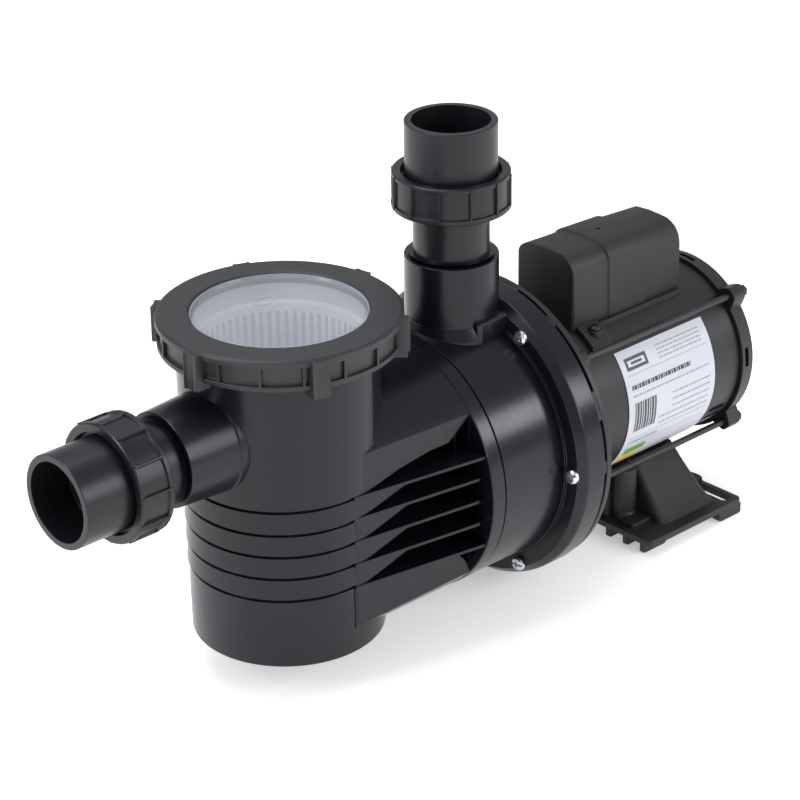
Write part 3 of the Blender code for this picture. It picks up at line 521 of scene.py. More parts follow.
def body_hollows():
    """Pot cavity, water way, volute cavity, both bores and the drain."""
    ledge = span_mm("strainer_basket", 2)[1] - 3.0
    cavity = lathe("pot_cavity", [
        (0.0, 240.0), (60.0, 240.0), (60.0, ledge, 0.3), (57.5, ledge, 0.5), (56.0, 30.0, 3.0), (0.0, 30.0),
    ], place(), FINE)
    duct = block("duct", (45.0, -40.0, 62.0), (VOLUTE_X + 2.0, 40.0, 172.0), place(), 0.0, 0.0)
    eye = lathe("eye", [(0.0, 112.0), (30.0, 112.0), (30.0, 90.0), (0.0, 90.0)], on_axis(), MEDIUM)
    chamber = lathe("volute_cavity", [(0.0, 192.0), (82.0, 192.0), (82.0, 106.0, 3.0), (0.0, 106.0)],
                    on_axis(), FINE)

    def bore(name, rim, end, matrix):
        return lathe(name, [
            (0.0, rim + 2.0), (28.2, rim + 2.0), (26.2, rim, 0.2), (25.3, rim - 1.0, 0.2), (25.3, rim - 26.0),
            (FLOW_R, rim - 26.0), (FLOW_R, end), (0.0, end),
        ], matrix, MEDIUM)

    inlet = bore("inlet_bore", INLET_RIM, 45.0, place((0.0, 0.0, INLET_Z), SUCTIONWARDS))
    outlet = bore("outlet_bore", OUTLET_RIM, 165.0, place((OUTLET_X, 0.0, 0.0)))
    drain = lathe("drain_hole", [(0.0, 75.0), (7.0, 75.0), (7.0, 45.0), (0.0, 45.0)],
                  place((0.0, 0.0, DRAIN_Z), FARWARDS), SMALL)
    return cavity, duct, eye, chamber, inlet, outlet, drain


def build_body():
    """Pot, tunnel, volute, sockets and fins in one moulding, then its hollows."""
    casing = cut(tunnel(), *pockets())
    body = add(pot(), casing, volute(), *sockets(), *fins())
    body = cut(body, *body_hollows())
    finished(body, BODY_BLACK, "pump", "black_plastic", "pump_body")


# --- lid ------------------------------------------------------------------------------------
def build_lid():
    """Screwed ring with grip lugs and ribs, and the clear crowned lens that it holds."""
    top, low = LID_TOP, LID_BOTTOM
    ring = lathe("lid_ring", [
        (56.0, top - 0.9, 0.5), (57.2, top, 0.6), (74.8, top - 0.3, 0.8), (76.7, top - 1.8, 1.0),
        (76.7, top - 5.4, 0.6), (74.2, top - 6.0, 0.5), (73.6, low + 6.9, 0.5), (76.0, low + 6.3, 0.6),
        (76.0, low + 3.1, 0.8), (66.3, low + 3.0, 0.6), (66.3, top - 4.0), (56.0, top - 4.0),
    ], place(), FINE)
    lugs = []
    first_lug, lug_step = 7.0, 60.0
    for angle in even_angles(6, first_lug):
        turn = on_pot(angle)
        outline = [(70.0, -7.2), (80.6, -5.4, 0.8), (79.8, -2.6, 0.5), (79.8, 2.6, 0.5), (80.6, 5.4, 0.8),
                   (70.0, 7.2)]
        lugs.append(prism("lug", outline, low - 1.5, top - 1.9, turn, 0.35))
    for angle in even_angles(18, 17.0):
        past_lug = (angle - first_lug) % lug_step
        if min(past_lug, lug_step - past_lug) > 8.0:
            turn = on_pot(angle + 3.0)
            lugs.append(block("rib", (71.0, -0.9, low + 4.4), (76.1, 0.9, top - 3.0), turn, 0.25))
    finished(add(ring, merged("lugs", lugs)), RING_BLACK, "lid_ring", "black_plastic", "lid_ring")

    ledge = top - 4.3
    lens = lathe("lid_lens", [
        (0.0, top + 0.5), (22.0, top + 0.2), (40.0, top - 0.7), (52.4, top - 2.0, 0.8),
        (53.6, top - 2.4, 0.3), (54.2, top - 0.8, 0.3), (55.4, top - 0.8, 0.3), (55.4, ledge, 0.3),
        (63.5, ledge, 0.5), (63.5, 233.7, 0.5), (58.5, 233.7, 0.4), (58.0, 226.0, 0.8), (55.5, 226.0, 0.8),
        (54.3, ledge - 2.0, 1.0), (0.0, ledge - 1.5),
    ], place(), FINE)
    mark = lathe("lens_mark", [
        (8.5, top + 1.0, 0.2), (8.5, top - 1.0), (7.2, top - 1.0), (7.2, top + 1.0, 0.2),
    ], place(), SMALL)
    for vertex in mark.data.vertices:
        vertex.co.y = 0.62 * vertex.co.y + 14.0 * MM
    finished(add(lens, mark), LENS, "lid", "clear_lens", "lid_lens")


def build_basket():
    """White cup with a slotted wall, as far as the lens lets it be seen."""
    low, rim = span_mm("strainer_basket", 2)
    basket = lathe("strainer_basket", [
        (51.5, rim, 0.6), (59.0, rim, 0.8), (59.0, rim - 2.6, 0.6), (54.2, rim - 2.6, 0.6), (50.0, low, 1.5),
        (8.0, low), (8.0, low + 2.2), (48.0, low + 2.2, 1.5), (51.5, rim - 2.0),
    ], place(), FINE)
    slots = []
    for angle in even_angles(60, 3.0):
        under_window = abs(angle - 180.0) <= 35.0
        spans = ((60.0, 142.0), (52.0, 56.0)) if under_window else ((150.0, rim - 6.0), (52.0, 140.0))
        for bottom, top in spans:
            slots.append(block("slot", (44.0, -1.35, bottom), (62.0, 1.35, top), on_pot(angle), 0.3))
    window = lathe("window", [(0.0, 70.0), (24.0, 70.0), (24.0, 30.0), (0.0, 30.0)],
                   place((0.0, 0.0, INLET_Z), SUCTIONWARDS), SMALL)
    basket = cut(basket, merged("slots", slots), window)
    finished(basket, BASKET_WHITE, "basket", "white_plastic", "strainer_basket")


# --- union couplings ------------------------------------------------------------------------
def build_union(side, start, reach, origin, turn):
    """Nipple, tailpiece and ribbed nut. Start is the nut's inner end, and reach the nipple's from there."""
    axis = place(origin, turn) @ Matrix.Translation((0.0, 0.0, start * MM))
    face, flange = 12.6, 15.8
    nipple = lathe(side + "_nipple", [
        (FLOW_R, face), (34.4, face, 0.5), (34.4, 2.0, 0.5), (26.5, 1.4, 0.6), (24.8, -1.0, 1.0),
        (24.8, reach, 0.5), (FLOW_R, reach, 0.5),
    ], axis, MEDIUM)
    finished(nipple, FITTING_BLACK, "pump", "black_plastic", side + "_nipple")
    shoulder = TAIL_END - 28.0
    tail = lathe(side + "_tailpiece", [
        (25.4, TAIL_END, 0.5), (30.0, TAIL_END, 0.9), (30.0, TAIL_END - 30.0), (30.1, flange + 4.5, 0.6),
        (34.2, flange + 4.5, 0.5), (34.2, flange, 0.5), (FLOW_R, flange), (FLOW_R, shoulder, 0.6),
        (25.4, shoulder, 0.6),
    ], axis, MEDIUM)
    finished(tail, FITTING_BLACK, side + "_tail", "black_plastic", side + "_tailpiece")
    top = NUT_HEIGHT
    lip = top - 4.0
    nut = lathe(side + "_nut", [
        (32.5, top - 0.2, 0.5), (37.4, top, 0.6), (38.3, top - 0.8, 0.6), (38.3, top - 3.0, 0.3),
        (37.2, top - 3.5, 0.3), (37.3, 4.2, 0.3), (38.7, 3.6, 0.4), (38.7, 0.8, 0.5), (37.8, 0.0, 0.4),
        (35.3, 0.0, 0.3), (35.3, lip), (32.5, lip, 0.4),
    ], axis, MEDIUM)
    rib = [(35.9, -1.5), (39.1, -0.65, 0.15), (39.1, 0.65, 0.15), (35.9, 1.5)]
    ribs = [prism("rib", rib, 1.5, top - 1.2, axis @ spin(angle), 0.15) for angle in even_angles(12, 5.0)]
    finished(add(nut, merged("ribs", ribs)), FITTING_BLACK, side + "_nut", "black_plastic", side + "_nut")


# --- fasteners ------------------------------------------------------------------------------
def build_flange_screws():
    """Six pan-head screws with a long slot and a short one across, each turned its own way."""
    head = FLANGE_X - 4.0
    for i, angle in enumerate(even_angles(6, 90.0), start=1):
        axis = beside(on_axis(), SCREW_R, angle)
        name = f"flange_screw_{i}"
        screw = lathe(name, [
            (0.0, 191.0), (2.0, 191.0, 0.4), (2.0, FLANGE_X - 0.2), (5.0, FLANGE_X - 0.2, 0.2),
            (5.0, head + 1.9, 0.9), (3.9, head + 0.2, 1.2), (0.0, head),
        ], axis, SMALL)
        turn = axis @ spin(23.0 + 31.0 * i)
        slots = [block("slot", (-0.75, -6.0, head - 1.0), (0.75, 6.0, head + 1.5), turn),
                 block("slot", (-2.4, -0.6, head - 1.0), (2.4, 0.6, head + 1.9), turn)]
        finished(cut(screw, *slots), ZINC, "pump", "zinc_steel", name)


def build_through_bolts():
    """Four long bolts outside the shell, with hexagon heads behind the rear shield."""
    head = span_mm("tie_rod_1", 0)[1] - 4.0
    for i, angle in enumerate(ROD_ANGLES, start=1):
        axis = beside(on_axis(), ROD_R, angle)
        name = f"tie_rod_{i}"
        hexagon = [(*on_circle(4.3, a), 0.3) for a in even_angles(6)]
        bolt = lathe(name, [(0.0, head + 1.0), (2.25, head + 1.0), (2.25, 201.5, 0.3), (0.0, 201.5)],
                     axis, SMALL)
        nut = prism("head", hexagon, head, head + 4.0, axis, 0.4)
        finished(add(bolt, nut), ROD_BLACK, "pump", "blackened_steel", name)


# --- motor ----------------------------------------------------------------------------------
def build_seal_plate():
    """Plate behind the flange: a full rim carried on lugs, with open slots between them."""
    front, rear = BODY_END + 0.4, 194.0
    plate = lathe("seal_plate", [
        (10.5, rear), (98.0, rear, 0.5), (99.0, rear - 2.0, 0.5), (103.0, rear - 2.4, 0.8),
        (103.0, 187.4, 0.8), (91.0, 187.4, 0.8), (90.0, front, 0.4), (88.9, front), (88.9, front + 2.8),
        (85.1, front + 2.8), (85.1, front), (81.4, front), (81.4, 176.0, 0.4), (77.0, 176.0, 0.4),
        (77.0, 187.0), (26.0, 187.0),
        (22.0, 160.0, 0.5), (17.0, 160.0, 0.3), (17.0, 168.0), (10.5, 168.0),
    ], on_axis(), FINE)
    lugs = []
    for name, half, first in (("lug", 10.5, 66.0), ("boss", 5.0, 90.0)):
        for angle in even_angles(6, first):
            lugs.append(block(name, (89.0, -half, front), (102.4, half, 190.0), on_axis(angle), 0.5, 2.0))
    holes = [lathe("hole", [(0.0, 192.0), (2.5, 192.0), (2.5, 180.0), (0.0, 180.0)],
                   beside(on_axis(), SCREW_R, angle), 16) for angle in even_angles(6, 90.0)]
    windows = []
    for first in even_angles(6, 90.0):
        turn = on_axis(first + 8.0)
        windows.append(block("window", (91.5, -5.0, 180.0), (99.5, 5.0, 198.0), turn, 0.0, 2.0))
    plate = add(plate, *lugs)
    finished(cut(plate, *holes, *windows), PLATE_BLACK, "pump", "glass_filled_plastic", "seal_plate")


def ears(start, end):
    """Rounded blocks at a shield's rim, one round each through-bolt."""
    made = []
    for angle in ROD_ANGLES:
        turn = on_axis(angle)
        outline = [(62.8, -9.0), (70.0, -6.2, 3.0), (74.0, -4.0, 3.0), (74.0, 4.0, 3.0), (70.0, 6.2, 3.0),
                   (62.8, 9.0)]
        made.append(prism("ear", outline, start, end, turn, 0.7))
    return made


def rod_holes(start, end):
    return [lathe("rod_hole", [(0.0, end), (2.8, end), (2.8, start), (0.0, start)],
                  beside(on_axis(), ROD_R, angle), 20) for angle in ROD_ANGLES]


def build_shields():
    """Painted end shields with bearing seats, ears for the through-bolts, and vents in the rear one."""
    low, high = span_mm("motor_front_shield", 0)
    front = lathe("motor_front_shield", [
        (62.2, high), (65.5, high, 0.8), (65.5, low + 5.0, 3.0), (62.0, low, 1.5), (12.0, low), (12.0, 199.3),
        (20.3, 199.3), (20.3, 213.0), (24.5, 213.0, 0.8), (24.5, low + 5.0, 1.0), (62.2, low + 5.0),
    ], on_axis(), FINE)
    front = add(front, *ears(low + 4.0, high + 8.0))
    finished(cut(front, *rod_holes(low + 6.5, high + 9.0)), PAINT_BLACK, "pump", "painted_motor_metal",
             "motor_front_shield")
    start, rim = SHELL_X[1] + 0.4, 378.5
    rear = lathe("motor_rear_shield", [
        (0.0, MOTOR_END), (22.0, MOTOR_END, 2.0), (30.0, MOTOR_END - 1.8, 2.0), (57.0, rim + 2.6, 3.0),
        (63.6, rim, 2.0), (65.0, start, 0.6), (59.8, start), (59.8, start - 4.0, 0.5), (56.8, start - 4.0),
        (56.8, rim - 2.0, 1.0), (24.5, rim, 1.0), (24.5, 352.6, 0.5), (20.3, 352.6, 0.3), (20.3, 365.9),
        (0.0, 365.9),
    ], on_axis(), FINE)
    rear = add(rear, *ears(start, rim - 0.5))
    vents = []
    for angle in even_angles(24, 7.5):
        turn = on_axis(angle)
        vents.append(block("vent", (33.0, -2.0, 360.0), (53.0, 2.0, 395.0), turn, 0.0, 1.9))
    notches = []
    for angle in (85.0, 5.0, 185.0, -95.0):
        turn = on_axis(angle)
        notches.append(block("notch", (60.5, -7.0, start + 3.0), (70.0, 7.0, start + 7.0), turn, 0.0, 1.0))
    rear = cut(rear, *rod_holes(start - 2.0, rim + 2.0), merged("vents", vents), merged("notches", notches))
    finished(rear, PAINT_BLACK, "pump", "painted_motor_metal", "motor_rear_shield")


def build_shell():
    """Rolled band with cooling slots at both ends and a pressed groove near the pump."""
    low, high = SHELL_X
    shell = lathe("stator_shell", [
        (60.3, high), (SHELL_R, high, 0.4), (SHELL_R, 219.5), (SHELL_R - 0.7, 219.0, 0.2),
        (SHELL_R - 0.7, 217.8, 0.2), (SHELL_R, 217.3), (SHELL_R, low, 0.4), (60.3, low),
    ], on_axis(), FINE)
    slots = []
    for first, last, start, end in ((-54.0, 54.0, 222.0, 240.0), (-60.0, 60.0, 345.0, 360.0)):
        for angle in (first, first + 9.0, first + 18.0, last - 18.0, last - 9.0, last):
            turn = on_axis(angle)
            slots.append(block("slot", (52.0, -2.2, start), (70.0, 2.2, end), turn, 0.0, 2.0))
    finished(cut(shell, merged("slots", slots)), PAINT_BLACK, "pump", "painted_motor_metal", "stator_shell")


def arch(x, half, top, base, corner):
    """Cross-section of the capacitor cover: straight sides, round shoulders, a slight crown."""
    steps, lean, crown = 8, 1.2, 1.0
    shoulder = []
    for k in range(steps + 1):
        dy, dz = on_circle(corner, 90.0 * k / steps)
        shoulder.append((half - lean - corner + dy, top - crown - corner + dz))
    left = [(x, half, base)] + [(x, y, z) for y, z in shoulder]
    right = [(x, -y, z) for y, z in reversed(shoulder)] + [(x, -half, base)]
    return left + [(x, 0.0, top)] + right


def build_capacitor_cover():
    """Moulded box over the capacitor, stepped along its top, on two screwed tabs across the shell."""
    low, high, base = 233.0, 340.0, 140.0
    stations = [
        (low - 4.0, 27.2, 214.9, 13.0), (267.0, 27.2, 213.5, 13.0), (268.2, 28.2, 214.8, 13.5),
        (303.0, 28.2, 213.9, 14.5), (304.2, 27.4, 212.8, 15.0), (high + 4.0, 27.2, 212.2, 19.0),
    ]
    rings = [arch(x, half, top, base, corner) for x, half, top, corner in stations]
    cover = loft("capacitor_cover", rings, place())
    outline = [(low, -27.8, 6.0), (high, -28.4, 5.0), (high, 28.4, 5.0), (low, 27.8, 6.0)]
    keep(cover, prism("plan", outline, base - 10.0, 230.0, place()))
    profile = [(low + 1.2, 100.0), (low, 205.0), (low + 0.5, 216.0, 8.0), (high - 0.4, 213.5, 9.0),
               (high, 100.0)]
    sideways = place((0.0, 60.0, 0.0), NEARWARDS)
    keep(cover, prism("side_view", profile, 0.0, 120.0, sideways))

    pad = [(SHELL_R + 4.4, 256.0, 0.8), (SHELL_R + 4.4, 236.0, 0.8), (56.0, 236.0), (56.0, 256.0)]
    tabs = lathe("pad", pad, on_axis(), FINE)
    keep(tabs, block("tab", (230.0, -43.0, 138.0), (260.0, 43.0, 175.0), place()))
    bosses = [lathe("boss", [(0.0, 162.0), (5.0, 162.0, 0.6), (5.4, 150.0), (0.0, 150.0)],
                    place((TAB_SCREW_X, side * TAB_SCREW_Y, 0.0)), SMALL) for side in (-1.0, 1.0)]
    rim = block("foot_line", (low + 22.0, -30.5, 138.0), (high - 2.0, 30.5, 162.0), place(), 0.6, 3.0)
    ridge = [(SHELL_R + 4.2, high + 4.0, 0.4), (SHELL_R + 4.2, low - 4.0, 0.4), (50.0, low - 4.0),
             (50.0, high + 4.0)]
    keep(rim, lathe("ridge", ridge, on_axis(), FINE))
    cover = add(cover, tabs, *bosses, rim)

    hollow = loft("cover_hollow", [
        arch(low + 2.5, 23.0, 206.0, 130.0, 11.0), arch(low + 6.0, 24.4, 210.0, 130.0, 11.0),
        arch(325.0, 24.4, 208.0, 130.0, 15.0), arch(high - 5.0, 23.0, 200.0, 130.0, 15.0),
        arch(high - 2.5, 22.0, 196.0, 130.0, 15.0)], place())
    saddle = lathe("saddle", [(0.0, 360.0), (SHELL_BED_R, 360.0), (SHELL_BED_R, 215.0), (0.0, 215.0)],
                   on_axis(), FINE)
    gland = lathe("gland_hole", [(0.0, 350.0), (8.4, 350.0), (8.4, 330.0), (0.0, 330.0)],
                  place((0.0, 0.0, GLAND_Z), MOTORWARDS), SMALL)
    holes = [lathe("tab_hole", [(0.0, 170.0), (2.2, 170.0), (2.2, 130.0), (0.0, 130.0)],
                   place((TAB_SCREW_X, side * TAB_SCREW_Y, 0.0)), 20) for side in (-1.0, 1.0)]
    gate = lathe("gate_mark", [(0.0, 220.0), (1.4, 220.0), (1.4, 213.0), (0.0, 213.0)],
                 place((283.0, -2.0, 0.0)), 20)
    cover = cut(cover, hollow, saddle, gland, gate, *holes)
    finished(cover, MATTE_BLACK, "pump", "matte_black_plastic", "capacitor_cover")


def build_cover_screws():
    """Cross-slotted screws on the cover's two tabs."""
    for i, side in enumerate((-1.0, 1.0), start=1):
        name = f"cover_screw_{i}"
        axis = place((TAB_SCREW_X, side * TAB_SCREW_Y, 0.0))
        screw = lathe(name, [
            (0.0, 165.2), (2.4, 165.0, 0.6), (4.0, 163.6, 0.5), (4.0, 162.4, 0.2), (1.7, 162.4), (1.7, 156.4),
            (0.0, 156.4),
        ], axis, SMALL)
        slots = [block("slot", (-0.4, -2.6, 163.9), (0.4, 2.6, 167.0), axis),
                 block("slot", (-2.6, -0.4, 163.9), (2.6, 0.4, 167.0), axis)]
        finished(cut(screw, *slots), ROD_BLACK, "pump", "blackened_steel", name)


def build_gland():
    """Cable gland with a hexagon, its way through left open."""
    axis = place((0.0, 0.0, GLAND_Z), MOTORWARDS)
    body = lathe("cable_gland", [
        (4.0, 352.0, 0.5), (7.0, 352.0, 0.8), (9.5, 349.5, 0.8), (9.5, 340.3, 0.4), (8.0, 340.3),
        (8.0, 333.0, 0.4), (4.0, 333.0),
    ], axis, SMALL)
    hexagon = prism("hex", [(*on_circle(10.8, a), 0.5) for a in even_angles(6)], 340.3, 345.5, axis, 0.4)
    cut(hexagon, lathe("bore", [(0.0, 350.0), (5.0, 350.0), (5.0, 335.0), (0.0, 335.0)], axis, SMALL))
    finished(add(body, hexagon), MATTE_BLACK, "pump", "matte_black_plastic", "cable_gland")


# --- label ----------------------------------------------------------------------------------
LABEL_LEFT, LABEL_RIGHT = 252.5, 339.5      # along X
LABEL_LOW, LABEL_HIGH = -61.0, 41.5         # angles round the shell


def sheet(name, low, high, first, last, radius, thickness=0.25):
    """Patch wrapped round the shell, from X low to high. Angles go up from the near side."""
    rows = max(2, int(abs(last - first) / 2.0))
    shape = bmesh.new()

    def corner(x, level, row):
        y, z = on_circle(level, first + (last - first) * row / rows)
        return shape.verts.new(Vector((x, -y, AXIS_Z + z)) * MM)

    lines = []
    for row in range(rows + 1):
        lines.append([corner(x, level, row) for x, level in (
            (low, radius), (high, radius), (high, radius + thickness), (low, radius + thickness))])
    for line, above in zip(lines, lines[1:]):
        for k in range(4):
            m = (k + 1) % 4
            shape.faces.new((line[k], line[m], above[m], above[k]))
    shape.faces.new(lines[0])
    shape.faces.new(lines[-1])
    return finish_mesh(name, shape, place())


def printed(name, marks, material):
    """Ink marks given as (left, right, low, high) fractions of the label."""
    width, height = LABEL_RIGHT - LABEL_LEFT, LABEL_HIGH - LABEL_LOW
    patches = []
    for left, right, low, high in marks:
        patches.append(sheet("ink", LABEL_LEFT + left * width, LABEL_LEFT + right * width,
                             LABEL_LOW + low * height, LABEL_LOW + high * height, SHELL_R + 0.58, 0.06))
    finished(merged(name, patches), material, "pump", "label_film")


def text_row(left, right, level, size, seed):
    """A line of print as generic dashes of uneven width."""
    marks, x, k = [], left, seed
    while x < right - 0.004:
        width = 0.010 + 0.006 * ((k * 7) % 5)
        marks.append((x, min(x + width, right), level, level + size))
        x += width + 0.008
        k += 1
    return marks


def build_label():
    """Film label with a plain frame mark, bars, rows of dashes and a coloured scale."""
    label = sheet("rating_label", LABEL_LEFT, LABEL_RIGHT, LABEL_LOW, LABEL_HIGH, SHELL_R + 0.3)
    finished(label, LABEL_WHITE, "pump", "label_film", "rating_label")
    black = [(0.06, 0.30, 0.865, 0.885), (0.06, 0.30, 0.925, 0.945), (0.06, 0.085, 0.885, 0.925),
             (0.275, 0.30, 0.885, 0.925), (0.12, 0.24, 0.897, 0.913)]
    x = 0.07
    for k in range(9):
        width = 0.012 + 0.006 * ((k * 5) % 3)
        black.append((x, x + width, 0.46, 0.66))
        x += width + 0.010 + 0.003 * ((k * 3) % 3)
    black += text_row(0.06, 0.74, 0.745, 0.028, 3)
    grey = []
    for row in range(4):
        grey += text_row(0.42, 0.92, 0.865 + 0.026 * row, 0.010, row)
    for row in range(5):
        grey += text_row(0.50 if row > 1 else 0.36, 0.94, 0.44 + 0.045 * row, 0.011, row + 5)
    grey += text_row(0.06, 0.94, 0.700, 0.010, 2)
    grey += text_row(0.06, 0.40, 0.36, 0.020, 4)
    for row in range(3):
        grey += text_row(0.42, 0.94, 0.06 + 0.07 * row, 0.010, row + 9)
    grey += [(0.05, 0.95, 0.835, 0.838), (0.05, 0.95, 0.405, 0.408), (0.05, 0.95, 0.335, 0.338)]
    printed("label_print_black", black, INK_BLACK)
    printed("label_print_grey", grey, INK_GREY)
    printed("label_print_green", [(0.06, 0.30, 0.255, 0.315)], INK_GREEN)
    printed("label_print_yellow", [(0.06, 0.27, 0.165, 0.250)], INK_YELLOW)
    printed("label_print_orange", [(0.06, 0.24, 0.085, 0.160)], INK_ORANGE)


# --- foot -----------------------------------------------------------------------------------
def build_foot():
    """Plate on ribs with a flared column, half-round pillars and gussets under the motor."""
    low, high = FOOT_X
    half, under, top = 80.0, 7.0, 12.0
    foot = block("motor_foot", (low, -half, under), (high, half, top), place(), 0.9, 4.0)
    parts = []

    def section(z, x0, x1, y, corner):
        """Level ring of a tapering wall, as wide as y on both sides."""
        outline = filleted([(x0, -y, corner), (x1, -y, corner), (x1, y, corner), (x0, y, corner)], steps=4)
        return [(px, py, z) for px, py in outline]

    parts.append(loft("column", [
        section(10.0, 281.0, 337.5, 73.0, 8.0), section(13.0, 282.0, 336.5, 69.0, 8.0),
        section(18.0, 283.0, 335.0, 63.0, 8.0), section(26.0, 285.0, 333.5, 55.0, 7.0),
        section(36.0, 287.0, 332.0, 45.0, 6.0), section(47.5, 289.0, 331.0, 34.0, 5.0)], place()))
    parts.append(loft("front_wall", [
        section(10.0, 263.0, 300.0, 34.0, 3.0), section(47.5, 263.0, 300.0, 32.0, 3.0)], place()))

    def upright(name, y, half_width, start, end, corner):
        """Rib under the plate, from the floor up."""
        outline = [(start, 0.0, corner), (end, 0.0, 2.0), (end, under + 1.0), (start, under + 1.0)]
        return prism(name, outline, 0.0, 2.0 * half_width, place((0.0, y + half_width, 0.0), NEARWARDS), 0.3)

    for side in (-1.0, 1.0):
        parts.append(lathe("pillar", [(0.0, 47.5), (8.6, 47.5), (9.6, 16.0, 2.0), (11.5, 11.0), (0.0, 11.0)],
                           place((277.5, side * 36.0, 0.0)), SMALL))
        parts.append(block("gusset", (264.0, side * 52.0 - 6.0, 10.0), (286.0, side * 52.0 + 6.0, 14.5),
                           place(), 1.2, 3.0))
        parts.append(block("pad_boss", (330.5, side * 41.0 - 7.0, 10.0), (350.0, side * 41.0 + 7.0, 17.5),
                           place(), 1.4, 5.0))
        for y, length in ((71.0, 24.0), (55.0, 14.0), (39.0, 14.0)):
            parts.append(upright("rib", side * y, 2.0, low + 1.0, low + length, 2.0))
        parts.append(upright("heel", side * 76.3, 3.4, 330.0, high - 0.3, 2.5))
    foot = add(foot, *parts)
    saddle = [(0.0, 365.0), (SHELL_BED_R, 365.0), (SHELL_BED_R, 235.0), (0.0, 235.0)]
    tools = [block("hollow", (268.0, -30.0, -5.0), (328.0, 30.0, 34.0), place(), 0.0, 4.0),
             lathe("saddle", saddle, on_axis(), FINE)]
    for side in (-1.0, 1.0):
        tools.append(block("slot", (339.5, side * 61.0 - 15.0, 0.0), (348.5, side * 61.0 + 15.0, 25.0),
                           place(), 0.0, 4.4))
    for x in (284.0, 316.0):
        tools.append(lathe("hole", [(0.0, 50.0), (2.6, 50.0), (2.6, 30.0), (0.0, 30.0)],
                           place((x, 0.0, 0.0)), 20))
    finished(cut(foot, *tools), FOOT_BLACK, "pump", "matte_black_plastic", "motor_foot")


# --- drain plug -----------------------------------------------------------------------------
def build_drain_plug():
    """Slotted hand plug with grips, on the pot's far side."""
    axis = place((0.0, 0.0, DRAIN_Z), FARWARDS)
    plug = lathe("drain_plug", [
        (0.0, 76.6), (8.4, 76.6, 0.6), (9.6, 75.4, 0.6), (9.6, 71.0, 0.4), (6.0, 71.0), (6.0, 59.0, 0.5),
        (0.0, 59.0),
    ], axis, SMALL)
    grips = [block("grip", (9.0, -0.7, 71.3), (10.0, 0.7, 75.2), axis @ spin(angle), 0.2)
             for angle in even_angles(16)]
    slot = block("slot", (-1.3, -12.0, 74.4), (1.3, 12.0, 80.0), axis)
    plug = cut(add(plug, merged("grips", grips)), slot)
    finished(plug, FITTING_BLACK, "drain_plug", "black_plastic", "drain_plug")


# --- inner nodes that keep their CAD shape ----------------------------------------------------
def dress_inner_nodes():
    """Give every CAD node that stays its own material and its sharp edges."""
    looks = {
        "drain_oring": RUBBER, "lid_oring": RUBBER, "suction_oring": RUBBER, "discharge_oring": RUBBER,
        "body_oring": RUBBER, "diffuser": PLATE_BLACK, "impeller": PLATE_BLACK, "seal_seat": CERAMIC,
        "seal_head": CARBON, "seal_spring": STEEL, "stator_core": LAMINATED, "stator_winding": COPPER,
        "rotor_core": LAMINATED, "shaft": STEEL, "cooling_fan": MATTE_BLACK, "capacitor": CASE_GREY,
        "foot_screw_1": ZINC, "foot_screw_2": ZINC,
    }
    for end in ("front", "rear"):
        for part in ("outer_race", "inner_race", "balls"):
            looks[f"{end}_bearing_{part}"] = STEEL
    for node, material in looks.items():
        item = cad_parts[node]
        item.data.materials.clear()
        item.data.materials.append(material)
        item.data.shade_smooth()
        item.data.set_sharp_from_angle(angle=math.radians(CREASE))


# --- studio ---------------------------------------------------------------------------------
def soft_light(name, at, target, size, power, colour):
    """Rectangular area light, aimed at a target."""
    data = bpy.data.lights.new(name, "AREA")
    data.shape = "RECTANGLE"
    data.size, data.size_y = size
    data.energy = power
    data.color = colour
    lamp = bpy.data.objects.new(name, data)
    bpy.context.scene.collection.objects.link(lamp)
    lamp.location = at
    lamp.rotation_euler = (Vector(target) - Vector(at)).to_track_quat("-Z", "Y").to_euler()


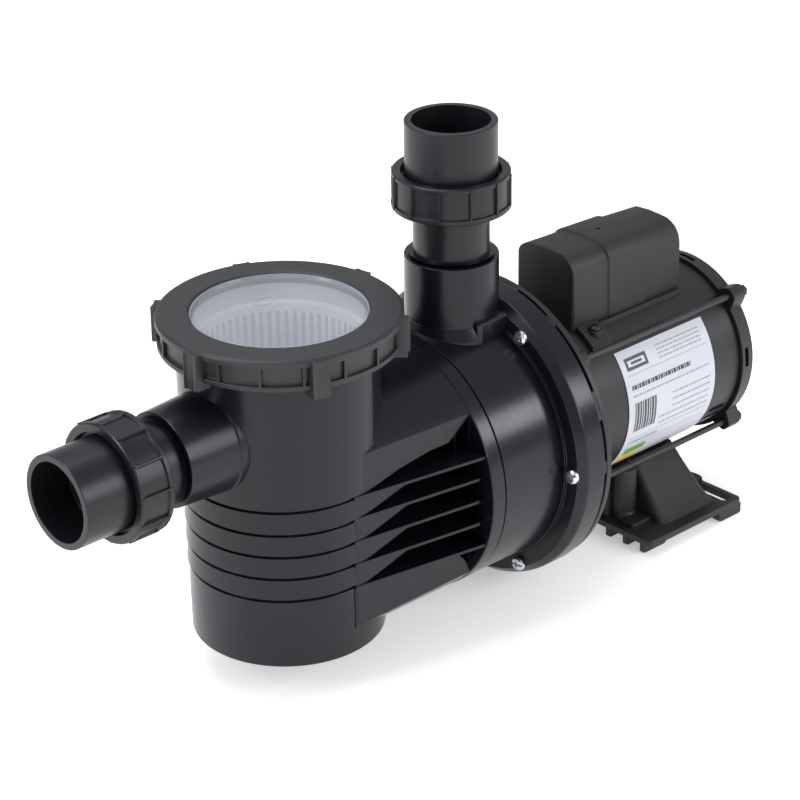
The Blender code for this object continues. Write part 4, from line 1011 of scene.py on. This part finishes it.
def build_studio():
    """White floor and surroundings, with four soft lights."""
    shape = bmesh.new()
    bmesh.ops.create_grid(shape, x_segments=1, y_segments=1, size=6.0)
    floor = finish_mesh("studio_floor", shape, Matrix.Translation((0.0, 0.0, -0.0004)))
    white = moulded("floor_white", (0.88, 0.88, 0.88), 0.75, 0.01, 60.0, 0.0, 3.0, shade=0.004)
    shader = white.node_tree.nodes["Principled BSDF"]
    shader.inputs["Emission Color"].default_value = (1.0, 1.0, 1.0, 1.0)
    shader.inputs["Emission Strength"].default_value = 0.40
    floor.data.materials.append(white)
    world = bpy.data.worlds.new("studio")
    world.use_nodes = True
    background = world.node_tree.nodes["Background"]
    background.inputs["Color"].default_value = (0.94, 0.965, 1.0, 1.0)
    background.inputs["Strength"].default_value = 0.58
    bpy.context.scene.world = world
    bpy.context.scene.view_settings.view_transform = "Standard"
    cool, cooler = (0.95, 0.97, 1.0), (0.94, 0.96, 1.0)
    soft_light("top_light", (-0.2, 0.5, 2.1), (0.0, 0.0, 0.1), (2.0, 1.4), 26.0, cool)
    soft_light("left_light", (-2.0, 0.4, 1.2), (-0.05, 0.0, 0.15), (0.5, 1.5), 24.0, cooler)
    soft_light("right_light", (0.7, -2.2, 1.1), (0.1, 0.0, 0.12), (0.8, 1.3), 18.0, cooler)
    soft_light("window_light", (1.35, -1.6, 0.95), (0.02, -0.08, 0.15), (0.45, 0.6), 9.0, cooler)


def build_camera():
    """Camera of the fitted view: direction, roll, distance and focal length."""
    azimuth, elevation, roll = math.radians(-42.81), math.radians(26.07), math.radians(-0.75)
    distance, focal_px, frame_px, sensor = 1.8476, 2843.0, 800.0, 36.0
    target = Vector((POT_X + 0.1018, 0.0022, 0.1456))
    back = Vector((math.sin(azimuth) * math.cos(elevation), -math.cos(azimuth) * math.cos(elevation),
                   math.sin(elevation)))
    data = bpy.data.cameras.new("camera")
    data.sensor_width = sensor
    data.lens = sensor * focal_px / frame_px
    data.clip_end = 50.0
    camera = bpy.data.objects.new("camera", data)
    bpy.context.scene.collection.objects.link(camera)
    right = Vector((math.cos(azimuth), math.sin(azimuth), 0.0))
    up = back.cross(right)
    across = math.cos(roll) * right + math.sin(roll) * up
    upward = back.cross(across)
    rotation = Matrix((across, upward, back)).transposed()
    camera.matrix_world = Matrix.Translation(target + back * distance) @ rotation.to_4x4()
    bpy.context.scene.camera = camera


build_camera()
build_studio()
build_body()
build_lid()
build_basket()
build_union("suction", SUCTION_NUT, INLET_RIM - SUCTION_NUT - NIPPLE_REACH, (0.0, 0.0, INLET_Z), SUCTIONWARDS)
build_union("discharge", DISCHARGE_NUT, OUTLET_RIM - DISCHARGE_NUT - NIPPLE_REACH, (OUTLET_X, 0.0, 0.0), UP)
build_flange_screws()
build_seal_plate()
build_shields()
build_shell()
build_through_bolts()
build_capacitor_cover()
build_cover_screws()
build_gland()
build_label()
build_foot()
build_drain_plug()
dress_inner_nodes()
